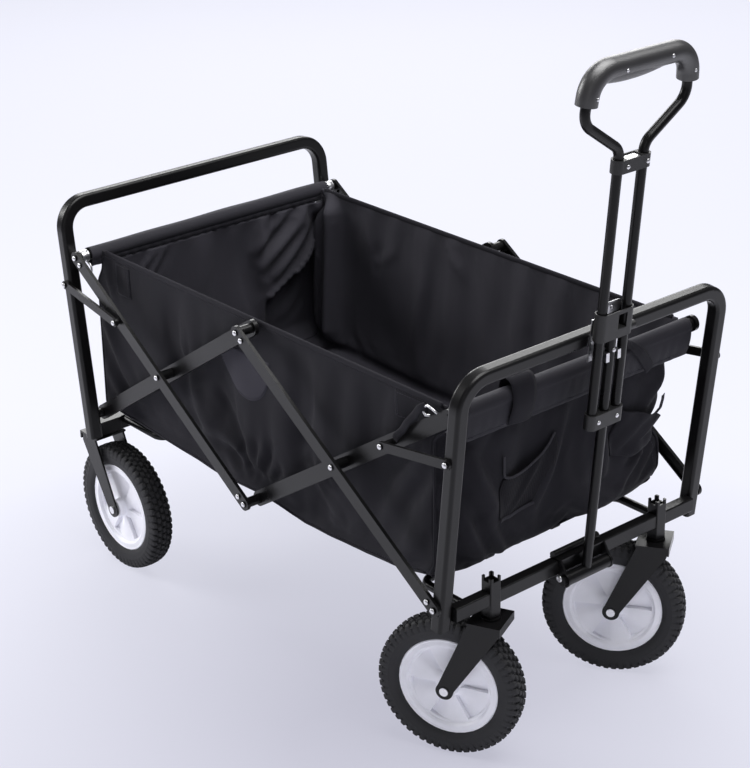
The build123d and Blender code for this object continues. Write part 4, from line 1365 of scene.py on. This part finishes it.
class WAGON_OT_rivets(bpy.types.Operator):
    """Set a zinc rivet on every pivot of the scissor sides, links and hems"""

    bl_idname = "wagon.rivets"
    bl_label = "Rivets"

    def execute(self, context):
        front_bar = [MID_HIGH, FRONT_CROSS, along(FRONT_LOW, MID_HIGH), along(MID_HIGH, FRONT_LOW)]
        rear_bar = [MID_LOW, along(REAR_HIGH, MID_LOW), along(MID_LOW, REAR_HIGH)]
        front_link, rear_link = along(FRONT_HIGH, MID_LOW, 116 * MM), along(REAR_HIGH, MID_LOW, 124 * MM)
        # Name, body, the CAD node that they sit on, how deep in millimetres, and their side-view places.
        for name, body, node, depth, places in (
            ("channel_front", "channel_front", "channel_front", 0.2, front_bar),
            ("channel_rear", "channel_rear", "channel_rear", 0.2, rear_bar),
            ("bar_rear", "bar_rear", "bar_rear", 0.2, [REAR_CROSS]),
            ("front_foot", "front_frame", "front_frame_tube", 0.2, [FRONT_LOW]),
            ("front_link", "front_frame", "front_frame_tube", 1.2, [pivot("fold_front_link")]),
            ("rear_link", "rear_frame", "rear_frame_tube", 0.2, [pivot("fold_rear_link")]),
            ("rear_hem", "hem_rear", "hem_tube_rear", 0.2, [REAR_HIGH]),
            ("link_front", "link_front", "link_front", 0.2, [front_link]),
            ("link_rear", "link_rear", "link_rear", 0.2, [rear_link]),
        ):
            face = corners(node)[1][1] - depth * MM
            spots = [((x, side * face, z), (0.0, side, 0.0)) for x, _, z in places for side, _ in SIDES]
            studs("rivets_" + name, body, spots, context.scene.wagon_frame.rivet)
        return {"FINISHED"}


# Screw heads along the grip's front: place and direction.
GRIP_SCREWS = [
    ((0.4704, -0.0817, 0.8902), (0.98, 0.18, -0.11)), ((0.4732, -0.0366, 0.9160), (0.99, 0.0, -0.16)),
    ((0.4734, 0.0400, 0.9190), (1.0, 0.0, 0.0)), ((0.4703, 0.0840, 0.8930), (0.95, 0.20, -0.20)),
]
# Half a ferrule's section: radius and distance along the hem tube, in millimetres.
FERRULE = MM * np.array([
    (8.1, 0.0), (8.8, 0.2), (9.1, 1.2), (8.7, 2.0), (9.1, 3.0), (9.1, 9.0), (8.7, 10.0), (9.1, 11.0), (8.8, 12.0),
    (8.1, 12.2),
])
# Wire hook at the front hem's right end, by x from the middle pivots.
FRONT_HOOK = [
    (0.372, -0.2235, 0.508), (0.364, -0.2250, 0.512), (0.356, -0.2255, 0.514), (0.350, -0.2250, 0.510),
    (0.346, -0.2245, 0.504), (0.351, -0.2240, 0.499), (0.358, -0.2235, 0.501),
]


class WAGON_OT_fittings(bpy.types.Operator):
    """Add the zinc rivets, screws, plates, ferrules and hooks of the handle and the hems, and the grip's swell"""

    bl_idname = "wagon.fittings"
    bl_label = "Zinc fittings"

    def execute(self, context):
        ahead = np.array([HANDLE_UP[2], 0.0, -HANDLE_UP[0]])
        side = np.array([0.0, 1.0, 0.0])
        knob = (0.4288, corners("handle_guide")[1][1] - 0.2 * MM, 0.5731)
        slider, yoke = (
            [(self.on_face(node, y, share, ahead), ahead) for y in places]
            for node, share, places in (
                ("handle_slider", 0.45, (-0.0165, 0.0165)), ("handle_yoke", 0.42, (-0.0125, 0.0215)),
            )
        )
        # Name, body, radius in millimetres, and places with directions.
        for name, body, radius, spots in (
            ("rivets_slider", "handle_top", 3.0, slider),
            ("rivets_yoke", "handle_top", 3.0, yoke),
            ("rivet_pole", "handle", 3.0, [((0.4331, 0.0, 0.550), ahead)]),
            ("bolt_hinge", "front_frame", 4.6, [((0.3936, -0.0452, 0.2283), -side)]),
            ("screw_knob", "handle", 2.8, [(knob, side)]),
            ("screws_grip", "handle_top", 2.3, GRIP_SCREWS),
        ):
            studs(name, body, spots, radius * MM)
        self.palm()
        lip = np.array([0.4247, 0.002, 0.6040])
        self.plate("clip_lip", "handle", lip, side, HANDLE_UP, (16.5 * MM, 8.0 * MM))
        studs("rivet_lip", "handle", [(lip + ahead * 0.7 * MM, ahead)], 2.6 * MM)
        self.plate("yoke_plate", "handle_top", (0.4488, 0.0, 0.8010), ahead, side, (7.8 * MM, 12.5 * MM))
        self.hooks()
        return {"FINISHED"}

    def on_face(self, node, y, share, ahead):
        """Point on a leaning part's front face at a share of its height."""
        low, high = corners(node)
        z = low[2] + (high[2] - low[2]) * share
        lean = -ahead[2] / ahead[0]
        return high[0] - (high[2] - z) * lean - 0.2 * MM, y, z

    def palm(self):
        """Swell on the grip's underside: a tube along the bar, slim at both ends, thickest near the middle."""
        low, high = corners("handle_grip")
        share = np.linspace(0, 1, 49)
        swell = np.sin(math.pi * share ** 0.8) ** 0.7
        middle = (low[0] + high[0]) / 2 + 0 * share
        line = np.stack([middle, -0.082 + 0.140 * share, high[2] - 0.0166 - 0.0036 * swell], axis=-1)
        radius = (0.0060 + 0.0066 * swell)[:, None, None]
        tubes("grip_palm", [line], radius, "handle_top", "grip", "foam_grip", 24)

    def plate(self, name, body, centre, across, along_it, half_size):
        """Zinc plate 1.6 mm thick: a rounded rectangle, its edge rolled over, its faces shrunk to a point."""
        angle = np.linspace(0, 2 * math.pi, 48, endpoint=False)
        outline = np.stack([np.cos(angle), np.sin(angle)], axis=-1)
        outline = np.sign(outline) * np.abs(outline) ** 0.35 * half_size
        shrink = np.array([0.0, 0.9, 0.98, 1.0, 1.0, 0.98, 0.9, 0.0])[:, None, None]
        height = np.array([0.8, 0.8, 0.7, 0.4, -0.4, -0.7, -0.8, -0.8])[:, None, None] * MM
        flat = outline[:, :1] * across + outline[:, 1:] * along_it
        skin = joined([np.asarray(centre) + shrink * flat + height * np.cross(across, along_it)])
        closed_piece(name, skin, body, "bolt", "zinc_plate")

    def hooks(self):
        """Ferrules on the rear hem tube's bare ends, and a wire hook below each and at the front."""
        ferrules, wires = [], []
        for side, _ in SIDES:
            start = np.array([REAR_HIGH[0], side * 0.2255, REAR_HIGH[2]])
            ring = turned(FERRULE, start, (0.0, side, 0.0), 28)
            ferrules.append(np.concatenate([ring, ring[:1]]))
            turn = np.linspace(0.5 * math.pi, -1.0 * math.pi, 19)
            bend = MM * np.stack([6 * np.cos(turn), 0 * turn, 8 * np.sin(turn)], axis=-1)
            hook = start + [0.010, side * 0.004, -0.017] + bend
            wires.append(np.concatenate([[start + [0.002, side * 0.004, -0.006]], hook]))
        closed_piece("hem_ferrules", joined(ferrules), "hem_rear", "bolt", "zinc_plate")
        tubes("hem_hooks_rear", wires, 1.5 * MM, "hem_rear", "bolt", "zinc_plate")
        tubes("hem_hook_front", [from_middle(FRONT_HOOK)], 1.6 * MM, "bar_front", "bolt", "zinc_plate")


# --- stage -------------------------------------------------------------


def floor_material():
    """Matt pale floor that keeps the shadow; the camera sees it lightened by a glow, most of all far away, with a
    painted shadow darkening the glow round the wagon.
    """
    graph = Graph("studio_floor")
    graph.set(Base_Color=(0.78, 0.78, 0.85), Roughness=1.0, Specular_IOR_Level=0.0)
    # Painted shadow: the glow is darkest round this point, in front of and under the wagon, and lightens outwards.
    middle = (0.25, -0.25, 0.0)
    away = graph.node("ShaderNodeVectorMath", {"operation": "DISTANCE"}, graph.place, middle, output="Value")
    # The dark blue-grey near the middle is painted shadow; the pale tone far away is the evenly bright floor.
    tone = graph.mix(away.between(0.1, 0.97), (0.55, 0.55, 0.65), (0.862, 0.872, 0.98))
    glow = graph.node("ShaderNodeEmission", {}, tone)
    seen = graph.node("ShaderNodeLightPath", {}, output="Is Camera Ray")
    matt = Value(graph, graph.shader.outputs["BSDF"])
    both = graph.node("ShaderNodeMixShader", {}, seen * 0.86, matt, glow)
    graph.tree.links.new(both.socket, graph.tree.nodes["Material Output"].inputs["Surface"])
    return graph.material


def area_light(name, place, target, size, power):
    """Soft rectangular lamp at a place, facing a target."""
    lamp = bpy.data.lights.new(name, "AREA")
    lamp.shape = "RECTANGLE"
    lamp.size, lamp.size_y = size
    lamp.energy = power
    holder = bpy.data.objects.new(name, lamp)
    holder.location = place
    holder.rotation_euler = (Vector(target) - Vector(place)).to_track_quat("-Z", "Y").to_euler()
    bpy.context.scene.collection.objects.link(holder)


# Half the floor's side.
FLOOR_REACH = 14.0
# Lamps: place, target, size and power in watts.
LAMPS = (
    ("overhead", (0.7, 0.3, 2.9), (-0.1, 0.0, 0.2), (2.2, 2.2), 115),
    ("key", (-1.9, -1.3, 1.5), (-0.2, -0.2, 0.3), (1.0, 1.0), 43),
    ("backdrop", (-2.9, 2.4, 2.3), (0.0, 0.0, 0.4), (3.0, 2.0), 120),
    ("fill", (2.8, -2.4, 1.4), (0.0, 0.0, 0.3), (2.0, 1.4), 5),
)


class WAGON_OT_stage(bpy.types.Operator):
    """Lay the floor, hang the lamps and set the camera"""

    bl_idname = "wagon.stage"
    bl_label = "Stage"

    def execute(self, context):
        stage = context.scene.wagon_stage
        square = FLOOR_REACH * np.array([[-1, -1, 0], [1, -1, 0], [1, 1, 0], [-1, 1, 0]])
        mesh = bpy.data.meshes.new("floor")
        mesh.from_pydata(square.tolist(), [], [(0, 1, 2, 3)])
        floor = bpy.data.objects.new("floor", mesh)
        context.scene.collection.objects.link(floor)
        mesh.materials.append(floor_material())
        world = context.scene.world or bpy.data.worlds.new("studio")
        context.scene.world = world
        world.use_nodes = True
        sky = world.node_tree.nodes["Background"]
        sky.inputs["Color"].default_value = (0.93, 0.94, 1.0, 1)
        sky.inputs["Strength"].default_value = 0.16
        for name, place, target, size, power in LAMPS:
            area_light(name, place, target, size, power)
        self.camera(context, stage)
        context.scene.view_settings.view_transform = "Standard"
        return {"FINISHED"}

    def camera(self, context, stage):
        """Camera turned by azimuth and elevation about its target, then rolled."""
        azimuth, elevation, roll = stage.azimuth, stage.elevation, stage.roll
        back = Vector((
            math.sin(azimuth) * math.cos(elevation), -math.cos(azimuth) * math.cos(elevation), math.sin(elevation)
        ))
        right = Vector((math.cos(azimuth), math.sin(azimuth), 0.0))
        up = back.cross(right)
        side = right * math.cos(roll) + up * math.sin(roll)
        top = up * math.cos(roll) - right * math.sin(roll)
        target = Vector(stage.target) + Vector((MID_LOW[0], 0.0, 0.0))
        lens = bpy.data.cameras.new("camera")
        lens.lens = stage.lens
        holder = bpy.data.objects.new("camera", lens)
        place = target + back * stage.distance
        turn = Matrix((side, top, back)).transposed().to_4x4()
        holder.matrix_world = Matrix.Translation(place) @ turn
        context.scene.collection.objects.link(holder)
        context.scene.camera = holder


# --- add-on ------------------------------------------------------------

STEPS = (
    WAGON_OT_finishes,
    WAGON_OT_stage,
    WAGON_OT_bag_body,
    WAGON_OT_bag_ends,
    WAGON_OT_bag_trims,
    WAGON_OT_tyres,
    WAGON_OT_rims,
    WAGON_OT_rivets,
    WAGON_OT_fittings,
)


class WAGON_PT_build(bpy.types.Panel):
    """Sidebar list of the wagon's pieces"""

    bl_idname = "WAGON_PT_build"
    bl_label = "Folding wagon"
    bl_space_type = "VIEW_3D"
    bl_region_type = "UI"
    bl_category = "Wagon"

    def draw(self, context):
        for step in STEPS:
            self.layout.operator(step.bl_idname)


GROUPS = {
    "wagon_cloth": WagonCloth,
    "wagon_wheels": WagonWheels,
    "wagon_frame": WagonFrame,
    "wagon_stage": WagonStage,
}


def register():
    for group in GROUPS.values():
        bpy.utils.register_class(group)
    for step in STEPS + (WAGON_PT_build,):
        bpy.utils.register_class(step)
    for name, group in GROUPS.items():
        setattr(bpy.types.Scene, name, PointerProperty(type=group))


def unregister():
    for name in GROUPS:
        delattr(bpy.types.Scene, name)
    for step in reversed(STEPS + (WAGON_PT_build,)):
        bpy.utils.unregister_class(step)
    for group in reversed(list(GROUPS.values())):
        bpy.utils.unregister_class(group)


def main():
    register()
    for step in STEPS:
        group, name = step.bl_idname.split(".")
        getattr(getattr(bpy.ops, group), name)()


if __name__ == "__main__":
    main()
